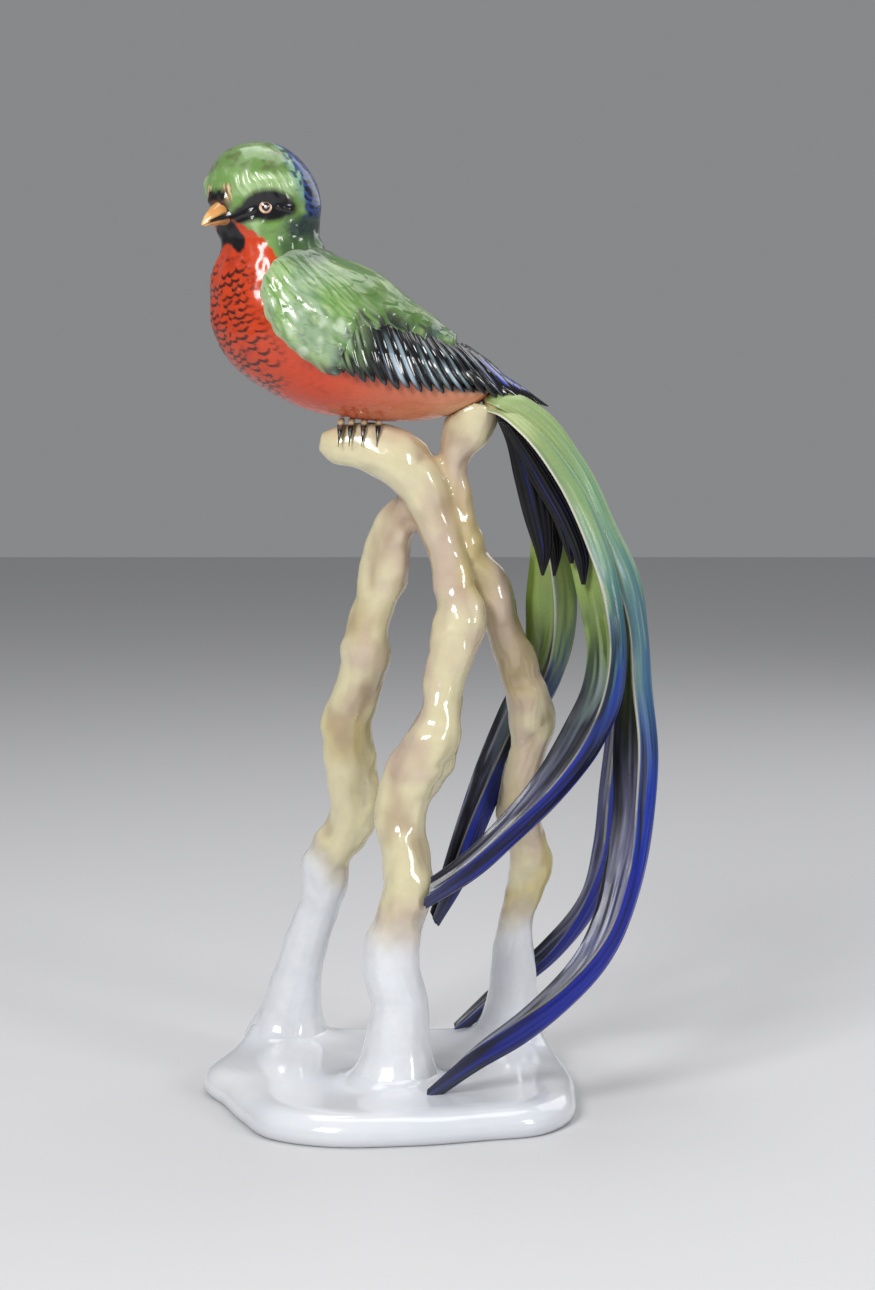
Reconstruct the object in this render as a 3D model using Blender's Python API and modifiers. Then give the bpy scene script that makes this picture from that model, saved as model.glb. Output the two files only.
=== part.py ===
"""Porcelain figurine: a long-tailed bird perched on three branches over a puddle base.

The origin is on the table under the middle of the whole figure.  The bird looks towards
-X, its tail hangs on the +X side and its left wing faces -Y.  Lengths below are
millimetres, measured from the middle of the base until metres() moves them.
"""
import math

import bmesh
import bpy
import numpy as np

MM = 0.001
FIGURE_MIDDLE = (15.25, -3.43)   # x and y of the whole figure's middle, from the base's

# ---- driving dimensions, mm ----
GAP = 0.3                 # clearance between neighbouring pieces
BASE_TOP = 12.0           # height of the base's upper face
BASE_RECESS = 3.6         # depth of the recess under the base
FOOT_RING = 9.0           # width of the ring the base stands on
SHEET = 2.2               # thickness of a tail streamer
FEATHER = 1.8             # thickness of an under-tail feather
BODY_WALL = 8.0           # wall of the torso
HEAD_WALL = 5.0           # wall of the head
COVERT_RELIEF = 3.4       # how far the coverts stand off the body
FLIGHT_RELIEF = 2.4       # how far the flight feathers stand off the body
WING_PART = 0.4           # half of the parting between the two wings
HEAD_TURN = math.radians(40)   # turn of the face from -X towards -Y
HEAD_CENTRE = (-50.0, 0.0, 356.0)

# Edge of the puddle base, clockwise from the breast side, (x, y)
BASE_OUTLINE = [
    (-76, 2), (-70, 34), (-58, 58), (-30, 70), (8, 72), (44, 69), (64, 50), (72, 18),
    (74, -16), (71, -45), (60, -61), (38, -69), (8, -77), (-24, -78), (-46, -67),
    (-58, -44), (-67, -20)]
# Profile of the base rim: (height, inset from the outline)
BASE_PROFILE = [(0.0, 2.6), (1.2, 0.9), (4.0, 0.0), (7.5, 0.3), (10.3, 2.0), (12.0, 6.0)]

# Branches as (x, y, z, radius)
BRANCH_FRONT = [
    (-27.5, 0, 264.5, 3.6), (-23, 0, 263.8, 6.4), (-15, 0, 263.2, 9.0), (-5, 0, 261.2, 11.2),
    (5, 0, 256.8, 12.0), (13, 0, 247, 11.2), (18, 0, 234, 10.0), (21, -1, 222, 7.8),
    (25, -3, 210, 7.6), (28, -5, 198, 9.6), (26, -7, 186, 10.4), (21, -9, 171, 9.2),
    (20, -11, 159, 9.2), (17, -12, 147, 11.2), (11, -13, 137, 12.0), (6, -14, 126, 10.6),
    (4, -16, 113, 10.4), (7, -18, 100, 9.8), (8, -19, 88, 10.0), (5, -20, 78, 10.2),
    (1, -21, 66, 11.6), (1, -22, 54, 11.6), (4, -22, 43, 11.2), (3, -23, 31, 12.0),
    (3, -24, 21, 12.6), (2, -24, 13, 15.0), (2, -24, 8, 18.0)]
BRANCH_BREAST = [
    (13, 2, 244, 4.5), (8, 5, 239, 7.5), (1, 9, 226, 9.4), (-2, 12, 213, 9.8),
    (-5, 15, 200, 8.8), (-10, 18, 188, 9.6), (-10, 20, 175, 9.6), (-13, 22, 163, 9.8),
    (-18, 24, 151, 10.4), (-18, 26, 140, 10.0), (-16, 28, 127, 10.4), (-15, 30, 115, 10.4),
    (-19, 32, 103, 10.2), (-26, 34, 92, 9.6), (-28, 37, 79, 9.8), (-32, 40, 66, 9.2),
    (-37, 43, 51, 9.6), (-41, 46, 35, 10.4), (-44, 49, 21, 13.0), (-46, 50, 12, 17.0),
    (-46, 50, 8, 19.0)]
BRANCH_TAIL = [
    (34, 0, 280, 10.5), (32, 0, 272, 10.6), (29, 0, 265, 9.4), (26, 1, 256, 6.8),
    (27, 2, 243, 6.6), (29, 5, 229, 7.0), (33, 8, 217, 7.6), (39, 11, 206, 8.2),
    (44, 14, 194, 8.0), (48, 17, 182, 8.0), (52, 20, 169, 8.8), (57, 23, 156, 9.4),
    (58, 26, 144, 8.4), (56, 28, 133, 7.8), (53, 30, 122, 8.8), (53, 33, 110, 9.6),
    (57, 36, 96, 8.2), (57, 38, 85, 8.6), (53, 40, 72, 8.0), (51, 42, 59, 8.0),
    (51, 45, 44, 9.6), (51, 47, 28, 10.2), (51, 49, 16, 13.0), (51, 49, 8, 17.0)]

# Torso rings from neck to rump: back x, back z, belly x, belly z, half width
TORSO = [
    (-27, 343.7, -66, 340.7, 17.5), (-21, 335.5, -69, 333, 20.5), (-12, 331, -70.5, 323, 23.2),
    (-4, 326, -70, 312, 25.5), (4, 319.5, -67, 302, 26.8), (12, 313.5, -60, 293, 27.0),
    (20, 307.5, -49, 285, 26.2), (27, 302.5, -35, 278, 24.2), (33, 298, -18, 274, 21.2),
    (38, 294.5, 2, 272.5, 17.4), (41, 291.5, 20, 274, 13.4), (42.5, 289, 32, 278, 9.4),
    (42, 287, 37, 281, 5.5)]
# Rings beyond the rump that shape the folded wing tips, same columns
WING_TIP = [
    (45, 288, 37, 281.5, 9.0), (50, 285, 44, 281, 7.0), (56, 282, 52, 279, 4.6),
    (61.5, 278.6, 59.5, 277.4, 1.6)]
# Head rings from neck to crown, same columns
HEAD = [
    (-27, 344.0, -66, 341.0, 17.5), (-26.5, 350, -68, 348.5, 19.6), (-26.5, 357, -70.5, 356.5, 21.0),
    (-28, 364.5, -71.6, 364, 21.4), (-31.5, 371, -70.2, 370.5, 19.6), (-37, 376.6, -66, 376.4, 15.2),
    (-43, 380.0, -60, 379.8, 9.0), (-49, 381.4, -54, 381.3, 3.0)]

# Side outlines of the wing pieces, (x, z)
COVERT_OUTLINE = [
    (-30, 341), (-40, 336), (-47, 325), (-45, 313), (-38, 304.5), (-29, 299), (-20, 300.5),
    (-8, 302.5), (6, 299.5), (18, 298), (30, 293.5), (44, 289.5), (52, 296), (30, 312),
    (8, 325), (-12, 336)]
FLIGHT_OUTLINE = [
    (-28.4, 298.4), (-22, 293.5), (-13, 287), (-8, 285.4), (-4, 282.6), (2, 284.8), (7, 282.6),
    (13, 285), (18, 282.8), (24, 285), (29, 283), (34, 285.2), (40, 281.6), (48, 280.6),
    (56, 277.6), (64, 276.6), (64, 281.5), (52, 291), (44, 288.6), (30, 292.6), (18, 297.1),
    (6, 298.6), (-8, 301.6), (-20, 299.6)]

# Tail streamers: each station is the near edge, the ridge and the far edge, (x, y, z)
SHORT_LEFT = [
    ((42, -12, 275.5), (45, -7, 279.0), (43, -3, 278.2)),
    ((51, -17, 268.5), (56, -9.5, 271.8), (52, -3.2, 267)),
    ((65, -22, 250), (73, -13.5, 251), (64, -4, 247)),
    ((76, -25, 227), (83.5, -17, 228), (70, -7, 223)),
    ((84, -27, 202), (89.5, -19, 203), (75, -10, 200)),
    ((86, -28, 184), (91.5, -20.5, 183), (78, -11, 184)),
    ((83, -29, 165), (89.5, -21.5, 163), (76, -12, 168)),
    ((76, -30, 149), (82, -22, 146), (69, -13, 153)),
    ((63, -31, 131), (68, -23, 127), (58, -14, 134)),
    ((45, -32, 114), (50, -25, 109), (42, -17, 115)),
    ((26, -33, 97), (29, -28, 92), (24, -21, 99)),
    ((14, -31, 87), (14, -27, 83), (12, -23, 91))]
LONG_LEFT = [
    ((43, -13, 280.5), (46, -7, 283.2), (44, -1.3, 282.6)),
    ((56.5, -13.5, 275), (59.5, -7, 277), (57, -1.3, 275)),
    ((73, -15, 256.5), (75.5, -8, 257.5), (72, -1.3, 255)),
    ((85, -15.5, 233), (88.4, -8.5, 231.5), (84.5, -1.3, 230)),
    ((92.5, -15.5, 211), (98, -9.5, 210), (92, -1.3, 208)),
    ((94, -15.5, 193), (101, -10, 190), (93, -1.3, 188)),
    ((95.5, -17, 171), (103, -10, 166), (91, -1.5, 168)),
    ((98, -19, 146), (105, -12, 138), (89, -4, 144)),
    ((97, -23, 124), (103, -16, 113), (89, -8, 120)),
    ((94, -29, 98), (97.5, -22, 89), (85, -14, 96)),
    ((85, -35, 73), (88, -29, 66), (79, -21, 74)),
    ((67, -41, 53), (73, -35, 48), (68, -26, 57)),
    ((49, -45, 41), (54, -40, 33), (52, -33, 43)),
    ((32, -48, 30), (35, -44, 22.5), (34, -38, 30)),
    ((15, -48, 15), (15, -46, 9), (17, -42, 14))]
SHORT_RIGHT = [
    ((43, 3.2, 278.2), (45, 7, 279.0), (42, 12, 275.5)),
    ((52, 5, 266), (56, 9.5, 271.8), (51, 17, 268.5)),
    ((56, 8, 245), (66, 13, 248), (56, 20, 248)),
    ((63, 12, 220), (71, 17, 222), (57, 24, 222)),
    ((66, 15, 200), (74, 21, 202), (55, 26, 200)),
    ((66, 20, 184), (73, 26, 184), (55, 31, 184)),
    ((63, 31, 168), (68, 37, 165), (52, 41, 169)),
    ((52, 42, 149), (58, 47, 144), (44, 49, 150)),
    ((43, 40, 130), (48, 44, 125), (36, 46, 131)),
    ((34, 27, 112), (39, 31, 107), (29, 33, 113)),
    ((25, 8, 92), (30, 12, 87), (22, 14, 94)),
    ((17, -6, 74), (19, -4, 71), (16, -3, 76))]
LONG_RIGHT = [
    ((44, 1.3, 282.6), (46, 7, 283.2), (43, 13, 280.5)),
    ((57, 1.3, 275), (59.5, 7, 277), (56.5, 13.5, 275)),
    ((72, 1.3, 255), (75.5, 8, 257.5), (73, 15, 256.5)),
    ((84.5, 1.3, 230), (88.4, 8.5, 231.5), (85, 17, 231)),
    ((91, 2, 208), (97, 10, 210), (90, 18, 209)),
    ((92, 4, 188), (100, 12, 190), (91, 20, 189)),
    ((92, 7, 166), (100, 15, 166), (90, 23, 168)),
    ((90, 11, 142), (100, 20, 138), (88, 28, 143)),
    ((88, 17, 119), (98, 27, 113), (86, 35, 121)),
    ((86, 27, 92), (93, 37, 88), (84, 44, 95)),
    ((78, 39, 68), (83, 46, 64), (79, 52, 72)),
    ((64, 52.5, 45), (68, 57.5, 43), (64, 63.5, 50)),
    ((43, 61.5, 26), (46, 64, 24), (43, 68, 30)),
    ((26, 60, 12.5), (27, 62, 9), (26, 64.5, 14))]

# Under-tail feathers: stations of left x, right x, height z, depth y
UNDER_TAIL = [
    [(42, 48, 275, -7.5), (46, 53, 266, -8), (50, 60.5, 250, -9), (54, 63.5, 234, -9),
     (58, 63.5, 221, -9), (60, 61, 212, -9)],
    [(44, 50, 275, 0), (48, 57, 264, 0.5), (54, 64, 247, 1), (60, 68, 231, 1.5),
     (64, 68, 219, 1.5), (65, 66, 211, 1.5)],
    [(44.5, 49, 271.5, -12.0), (50, 56, 263, -13.5), (59, 67, 247, -15.5), (67, 74, 233, -16),
     (73, 78, 219, -16), (75.5, 77, 209, -16)],
    [(43, 48.5, 272.5, -9.7), (49, 56.5, 264, -10.7), (57, 66, 248, -12.2), (64, 71, 236, -12.5),
     (68, 73, 226, -12.5), (71, 72.4, 217, -12.5)]]

# Claws on the near side of the perch: x of each
CLAW_X = [-19.6, -15.4, -10.4, -4.6]

GLAZE = {   # name: (red, green, blue, roughness)
    "white_porcelain": (0.72, 0.73, 0.75, 0.12), "cream_glaze": (0.60, 0.50, 0.34, 0.14),
    "breast_red": (0.56, 0.09, 0.03, 0.16), "feather_green": (0.19, 0.33, 0.11, 0.16),
    "flight_black": (0.015, 0.02, 0.035, 0.14), "beak_tan": (0.60, 0.34, 0.13, 0.2),
    "eye_black": (0.02, 0.015, 0.015, 0.08), "tail_green": (0.17, 0.30, 0.17, 0.16),
    "tail_blue": (0.04, 0.08, 0.26, 0.16)}


def glaze(name):
    """The glaze's material, made once."""
    found = bpy.data.materials.get(name)
    if found:
        return found
    red, green, blue, rough = GLAZE[name]
    made = bpy.data.materials.new(name)
    made.use_nodes = True
    shader = made.node_tree.nodes["Principled BSDF"]
    shader.inputs["Base Color"].default_value = (red, green, blue, 1)
    shader.inputs["Roughness"].default_value = rough
    shader.inputs["Metallic"].default_value = 0.0
    made.diffuse_color = (red, green, blue, 1)
    return made


def metres(x, y, z):
    """A point in metres from the figure's own middle."""
    return ((x - FIGURE_MIDDLE[0]) * MM, (y - FIGURE_MIDDLE[1]) * MM, z * MM)


def smooth_path(points, count):
    """A smooth curve through rows of numbers, sampled at count even steps."""
    rows = np.array(points, dtype=float)
    flat = rows.reshape(len(rows), -1)
    knots = np.concatenate([[0.0], np.cumsum(np.linalg.norm(np.diff(flat[:, :3], axis=0), axis=1))])
    slopes = np.gradient(flat, knots, axis=0)
    where = np.linspace(0.0, knots[-1], count)
    left = np.clip(np.searchsorted(knots, where, side="right") - 1, 0, len(knots) - 2)
    span = (knots[left + 1] - knots[left])[:, None]
    t = (where - knots[left])[:, None] / span
    value = ((2 * t**3 - 3 * t**2 + 1) * flat[left] + (t**3 - 2 * t**2 + t) * span * slopes[left]
             + (3 * t**2 - 2 * t**3) * flat[left + 1] + (t**3 - t**2) * span * slopes[left + 1])
    return value.reshape((count,) + rows.shape[1:])


def add_mesh(name, vertices, faces, material, home):
    """A mesh object from millimetre vertices, normals outward."""
    mesh = bpy.data.meshes.new(name)
    mesh.from_pydata([metres(*v) for v in vertices], [], faces)
    shape = bmesh.new()
    shape.from_mesh(mesh)
    bmesh.ops.recalc_face_normals(shape, faces=shape.faces)
    if shape.calc_volume(signed=True) < 0:
        bmesh.ops.reverse_faces(shape, faces=shape.faces)
    shape.to_mesh(mesh)
    shape.free()
    if material:
        mesh.materials.append(glaze(material))
    mesh.shade_smooth()
    made = bpy.data.objects.new(name, mesh)
    home.objects.link(made)
    return made


def loft(name, rings, material, home):
    """A closed solid through rings of equal size, with a fan at both ends."""
    rings = np.asarray(rings, dtype=float)
    count, sides = rings.shape[:2]
    vertices = list(map(tuple, rings.reshape(-1, 3)))
    faces = []
    for ring in range(count - 1):
        for side in range(sides):
            a, b = ring * sides + side, ring * sides + (side + 1) % sides
            faces.append((a, b, b + sides, a + sides))
    for ring in (0, count - 1):
        hub = len(vertices)
        vertices.append(tuple(rings[ring].mean(axis=0)))
        faces += [(ring * sides + side, ring * sides + (side + 1) % sides, hub) for side in range(sides)]
    return add_mesh(name, vertices, faces, material, home)


def body_rings(stations, sides, shrink=0.0):
    """Elliptic rings, each spanned by its back point, its belly point and its half width."""
    rings = []
    for back_x, back_z, belly_x, belly_z, half in stations:
        centre = np.array([(back_x + belly_x) / 2, 0.0, (back_z + belly_z) / 2])
        up = np.array([back_x - belly_x, 0.0, back_z - belly_z]) / 2
        reach = np.linalg.norm(up)
        up *= max(reach - shrink, 0.5) / reach
        wide = np.array([0.0, max(half - shrink, 0.5), 0.0])
        rings.append([centre + up * math.cos(a) + wide * math.sin(a)
                      for a in np.linspace(0, 2 * math.pi, sides, endpoint=False)])
    return np.array(rings)


def tube(name, stations, samples, home, material):
    """A branch: a round bevelled curve of changing radius, turned into a mesh."""
    curve = bpy.data.curves.new(name, "CURVE")
    curve.dimensions = "3D"
    curve.bevel_depth = MM
    curve.bevel_resolution = 5
    curve.use_fill_caps = True
    spline = curve.splines.new("POLY")
    path = smooth_path(stations, samples)
    spline.points.add(samples - 1)
    for point, (x, y, z, radius) in zip(spline.points, path):
        point.co = (*metres(x, y, z), 1)
        point.radius = radius
    carrier = bpy.data.objects.new(name + "_curve", curve)
    home.objects.link(carrier)
    view = bpy.context.evaluated_depsgraph_get()
    mesh = bpy.data.meshes.new_from_object(carrier.evaluated_get(view))
    shape = bmesh.new()
    shape.from_mesh(mesh)
    bmesh.ops.remove_doubles(shape, verts=shape.verts, dist=0.00001)
    bmesh.ops.recalc_face_normals(shape, faces=shape.faces)
    shape.to_mesh(mesh)
    shape.free()
    bpy.data.objects.remove(carrier)
    mesh.materials.clear()
    mesh.materials.append(glaze(material))
    mesh.shade_smooth()
    made = bpy.data.objects.new(name, mesh)
    home.objects.link(made)
    return made


def gutter(name, stations, samples, columns, material, home):
    """A gutter-shaped streamer: an arched sheet through three smooth edges, thickened."""
    across = np.linspace(0.0, 1.0, columns)
    weights = np.stack([(1 - across) * (1 - 2 * across), 4 * across * (1 - across),
                        across * (2 * across - 1)], axis=1)
    grid = np.einsum("ck,skx->scx", weights, smooth_path(stations, samples))
    faces = [(row * columns + col, row * columns + col + 1, (row + 1) * columns + col + 1,
              (row + 1) * columns + col)
             for row in range(samples - 1) for col in range(columns - 1)]
    made = add_mesh(name, grid.reshape(-1, 3), faces, material, home)
    thick = made.modifiers.new("thickness", "SOLIDIFY")
    thick.thickness = SHEET * MM
    thick.offset = 0.0
    return made


def blade(name, stations, material, home):
    """A flat pointed feather standing in the XZ plane."""
    rings = []
    for left, right, height, depth in smooth_path(stations, 14):
        half, middle = (right - left) / 2, (right + left) / 2
        rings.append([(middle + half * math.cos(a), depth + FEATHER / 2 * math.sin(a), height)
                      for a in np.linspace(0, 2 * math.pi, 10, endpoint=False)])
    return loft(name, rings, material, home)


def grown(source, amount, cutters):
    """A cutter: the source's own mesh swollen along its normals."""
    mesh = source.data.copy()
    mesh.name = source.name + "_clearance"
    normals = np.array([v.normal[:] for v in mesh.vertices])
    for vertex, normal in zip(mesh.vertices, normals):
        vertex.co = [c + n * amount * MM for c, n in zip(vertex.co, normal)]
    made = bpy.data.objects.new(mesh.name, mesh)
    cutters.objects.link(made)
    return made


def prism(name, outline, y_low, y_high, cutters):
    """A cutter: an outline in XZ drawn out along Y."""
    count = len(outline)
    vertices = [(x, y, z) for y in (y_low, y_high) for x, z in outline]
    faces = [(i, (i + 1) % count, count + (i + 1) % count, count + i) for i in range(count)]
    faces += [tuple(range(count)), tuple(range(2 * count - 1, count - 1, -1))]
    return add_mesh(name, vertices, faces, None, cutters)


def box(name, low, high, cutters):
    """A cutter: an upright box between two corners."""
    outline = [(low[0], low[2]), (high[0], low[2]), (high[0], high[2]), (low[0], high[2])]
    return prism(name, outline, low[1], high[1], cutters)


def boolean(target, cutter, operation="DIFFERENCE"):
    """A live exact boolean on the target."""
    step = target.modifiers.new(operation.lower() + "_" + cutter.name, "BOOLEAN")
    step.operation = operation
    step.solver = "EXACT"
    step.object = cutter


def make_base(home, cutters):
    """The puddle base with its rounded rim and the recess below."""
    outline = smooth_path(BASE_OUTLINE + BASE_OUTLINE[:1], 45)[:-1]
    centre = outline.mean(axis=0)

    def ring(height, inset):
        away = outline - centre
        length = np.linalg.norm(away, axis=1, keepdims=True)
        flat = centre + away * (length - inset) / length
        return np.column_stack([flat, np.full(len(flat), height)])

    base = loft("base", [ring(z, inset) for z, inset in BASE_PROFILE], "white_porcelain", home)
    recess = loft("base_recess", [ring(-2.0, FOOT_RING), ring(BASE_RECESS - 1.5, FOOT_RING + 0.6),
                                  ring(BASE_RECESS, FOOT_RING + 4)], None, cutters)
    boolean(base, recess)
    return base


def make_branches(home, cutters, torso_room):
    """The three branches, cut flat over the base and fitted round one another."""
    below = box("base_room", (-90, -90, -20), (90, 90, BASE_TOP + GAP), cutters)
    front = tube("branch_front", BRANCH_FRONT, 50, home, "cream_glaze")
    front_room = grown(front, GAP, cutters)
    breast = tube("branch_breast", BRANCH_BREAST, 44, home, "cream_glaze")
    breast_room = grown(breast, GAP, cutters)
    tail = tube("branch_tail", BRANCH_TAIL, 44, home, "cream_glaze")
    for branch in (front, breast, tail):
        boolean(branch, below)
    boolean(front, torso_room)
    boolean(tail, torso_room)
    boolean(breast, front_room)
    boolean(tail, front_room)
    boolean(tail, breast_room)
    return front_room, grown(tail, GAP, cutters), below


def make_body(home, cutters):
    """Torso and head, both hollow and open to each other at the neck."""
    torso = loft("torso", body_rings(smooth_path(TORSO, 22), 28), "breast_red", home)
    torso_room = grown(torso, GAP, cutters)
    hollow = body_rings(smooth_path(TORSO, 22)[:18], 16, BODY_WALL)
    hollow[0] += np.array([-2.0, 0.0, 8.0])
    boolean(torso, loft("torso_hollow", hollow, None, cutters))
    head = loft("head", body_rings(smooth_path(HEAD, 14), 26), "feather_green", home)
    head_room = grown(head, GAP, cutters)
    hollow = body_rings(smooth_path(HEAD, 14)[:11], 16, HEAD_WALL)
    hollow[0] += np.array([2.0, 0.0, -8.0])
    boolean(head, loft("head_hollow", hollow, None, cutters))
    return torso_room, head_room


def make_face(home, head_room):
    """Beak and eyes, placed along the direction the head looks in."""
    forward = np.array([-math.cos(HEAD_TURN), -math.sin(HEAD_TURN), 0.0])
    side = np.array([-forward[1], forward[0], 0.0])
    centre = np.array(HEAD_CENTRE)

    def mandible(name, stations, sign):
        rings = []
        for reach, height, half, tall in stations:
            middle = centre + forward * reach + np.array([0, 0, height])
            arch = [middle + side * half * math.cos(a) + np.array([0, 0, sign * tall * math.sin(a)])
                    for a in np.linspace(0, math.pi, 9)]
            rings.append(arch)
        piece = loft(name, rings, "beak_tan", home)
        boolean(piece, head_room)

    mandible("beak_upper", [(14, -3.4, 6.2, 7.6), (19, -3.8, 5.6, 6.6), (23, -4.6, 4.2, 4.8),
                            (26.5, -6.0, 2.4, 2.8), (28.6, -7.4, 0.7, 0.9)], 1)
    mandible("beak_lower", [(14, -3.8, 5.4, 3.4), (19, -4.2, 4.8, 2.8), (23, -5.0, 3.5, 2.2),
                            (26, -6.2, 1.8, 1.4), (27.4, -7.0, 0.6, 0.6)], -1)
    for name, turn in (("eye_left", -1), ("eye_right", 1)):
        angle = math.radians(60) * turn
        look = forward * math.cos(angle) - side * math.sin(angle)
        eye = centre + look * 19.4 + np.array([0, 0, -0.2])
        rings = [[eye + look * 3.6 * math.sin(t)
                  + (np.cross(look, (0, 0, 1)) * math.cos(a) + np.array([0, 0, math.sin(a)]))
                  * 3.4 * math.cos(t) for a in np.linspace(0, 2 * math.pi, 14, endpoint=False)]
                 for t in np.radians([-80, -50, -20, 10, 35, 60, 80])]
        boolean(loft(name, rings, "eye_black", home), head_room)


def make_wings(home, cutters, torso_room):
    """Coverts and flight feathers: shells of the body's shape, trimmed to their outlines."""
    folded = TORSO[:11] + WING_TIP
    core = body_rings(smooth_path(folded, 26), 33)
    layers = {}
    for name, relief in (("coverts", COVERT_RELIEF), ("flight", FLIGHT_RELIEF)):
        plain = loft("wing_core_" + name, core, None, cutters)
        layers[name] = grown(plain, relief, cutters)
        bpy.data.objects.remove(plain)
    for side, low, high in (("left", -60.0, -WING_PART), ("right", WING_PART, 60.0)):
        for name, outline, material in (("coverts", COVERT_OUTLINE, "feather_green"),
                                        ("flight", FLIGHT_OUTLINE, "flight_black")):
            wing = prism("wing_%s_%s" % (name, side), outline, low, high, home)
            wing.data.materials.append(glaze(material))
            boolean(wing, layers[name], "INTERSECT")
            boolean(wing, torso_room)
    plain = loft("wing_room_core", core, None, cutters)
    room = grown(plain, FLIGHT_RELIEF + GAP, cutters)
    bpy.data.objects.remove(plain)
    return room


def make_claws(home, torso_room, front_room):
    """Four claws on each side of the perch."""
    for side, sign in (("left", -1), ("right", 1)):
        for number, x in enumerate(CLAW_X, start=1):
            path = smooth_path([(x + 0.6, sign * 4.0, 272.0), (x + 0.3, sign * 7.8, 269.0),
                                (x, sign * 10.0, 264.5), (x - 0.3, sign * 10.4, 260.0)], 9)
            rings = []
            for step, (px, py, pz) in enumerate(path):
                radius = 1.7 if step < 5 else 1.7 - 0.33 * (step - 4)
                rings.append([(px + radius * math.cos(a), py + radius * math.sin(a), pz)
                              for a in np.linspace(0, 2 * math.pi, 10, endpoint=False)])
            claw = loft("claw_%s_%d" % (side, number), rings, "flight_black", home)
            boolean(claw, torso_room)
            boolean(claw, front_room)


def make_tail(home, cutters, torso_room, wing_room, front_room, tail_branch_room, below):
    """The rump plug, the four streamers and the under-tail feathers."""
    rings = [[(43 + 7 * math.sin(t), 16 * math.cos(t) * math.cos(a),
               278.5 + 6.5 * math.cos(t) * math.sin(a) - 3 * math.sin(t))
              for a in np.linspace(0, 2 * math.pi, 24, endpoint=False)]
             for t in np.radians([-75, -50, -25, 0, 25, 50, 75])]
    root = loft("tail_root", rings, "flight_black", home)
    root_room = grown(root, GAP, cutters)
    boolean(root, torso_room)
    boolean(root, wing_room)
    boolean(root, tail_branch_room)
    streamers = (("streamer_long_left", LONG_LEFT, 34), ("streamer_long_right", LONG_RIGHT, 34),
                 ("streamer_short_left", SHORT_LEFT, 28), ("streamer_short_right", SHORT_RIGHT, 28))
    for name, stations, samples in streamers:
        streamer = gutter(name, stations, samples, 6, "tail_green", home)
        for room in (root_room, wing_room):
            boolean(streamer, room)
        if "long" in name:
            boolean(streamer, below)
        if name == "streamer_short_left":
            boolean(streamer, front_room)
    for number, stations in enumerate(UNDER_TAIL, start=1):
        feather = blade("under_tail_%d" % number, stations, "tail_blue", home)
        boolean(feather, root_room)
        boolean(feather, torso_room)


def main():
    for thing in list(bpy.data.objects):
        bpy.data.objects.remove(thing)
    home = bpy.data.collections.new("porcelain_figurine")
    cutters = bpy.data.collections.new("cutters")
    bpy.context.scene.collection.children.link(home)
    bpy.context.scene.collection.children.link(cutters)
    make_base(home, cutters)
    torso_room, head_room = make_body(home, cutters)
    front_room, tail_branch_room, below = make_branches(home, cutters, torso_room)
    make_face(home, head_room)
    wing_room = make_wings(home, cutters, torso_room)
    make_claws(home, torso_room, front_room)
    make_tail(home, cutters, torso_room, wing_room, front_room, tail_branch_room, below)
    for cutter in cutters.objects:
        cutter.hide_render = True
        cutter.display_type = "WIRE"


main()
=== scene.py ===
"""Looks of the porcelain figurine: glazed, hand-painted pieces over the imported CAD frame."""
import math

import bmesh
import bpy
import numpy as np
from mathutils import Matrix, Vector
from mathutils.bvhtree import BVHTree


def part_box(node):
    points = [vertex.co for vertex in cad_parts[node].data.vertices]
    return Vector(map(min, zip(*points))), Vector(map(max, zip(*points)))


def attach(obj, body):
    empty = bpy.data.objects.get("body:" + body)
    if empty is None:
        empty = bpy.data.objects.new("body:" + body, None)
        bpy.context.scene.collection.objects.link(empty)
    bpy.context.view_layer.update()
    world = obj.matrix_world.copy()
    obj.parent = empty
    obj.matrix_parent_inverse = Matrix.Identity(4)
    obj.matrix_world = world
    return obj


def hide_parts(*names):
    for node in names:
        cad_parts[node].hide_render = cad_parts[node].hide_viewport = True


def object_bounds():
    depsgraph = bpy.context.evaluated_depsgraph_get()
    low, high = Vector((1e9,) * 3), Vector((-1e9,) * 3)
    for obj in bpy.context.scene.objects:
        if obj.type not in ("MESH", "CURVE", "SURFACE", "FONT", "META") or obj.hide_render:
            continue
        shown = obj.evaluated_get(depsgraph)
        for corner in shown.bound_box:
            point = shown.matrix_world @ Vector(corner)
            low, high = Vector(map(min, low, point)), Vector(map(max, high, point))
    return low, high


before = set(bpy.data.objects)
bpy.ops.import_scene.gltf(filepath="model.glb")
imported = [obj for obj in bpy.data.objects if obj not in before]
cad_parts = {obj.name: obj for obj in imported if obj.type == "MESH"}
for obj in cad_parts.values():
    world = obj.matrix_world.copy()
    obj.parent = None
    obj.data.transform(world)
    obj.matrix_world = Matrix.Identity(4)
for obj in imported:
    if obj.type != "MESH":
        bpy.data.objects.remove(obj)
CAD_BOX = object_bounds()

MM = 0.001
# The figure's shapes are written in millimetres from the middle of the base, like the CAD.
FIGURE_MIDDLE = (15.25, -3.43)
FRAME_MIDDLE = (CAD_BOX[0] + CAD_BOX[1]) / 2
TABLE = CAD_BOX[0].z
BASE_TOP = (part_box("base")[1].z - TABLE) / MM

HEAD_TURN = math.radians(40)
HEAD_CENTRE = np.array([-50.0, 0.0, 356.0])
LOOK = np.array([-math.cos(HEAD_TURN), -math.sin(HEAD_TURN), 0.0])
LEFT = np.array([-LOOK[1], LOOK[0], 0.0])
UP = np.array([0.0, 0.0, 1.0])

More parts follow.
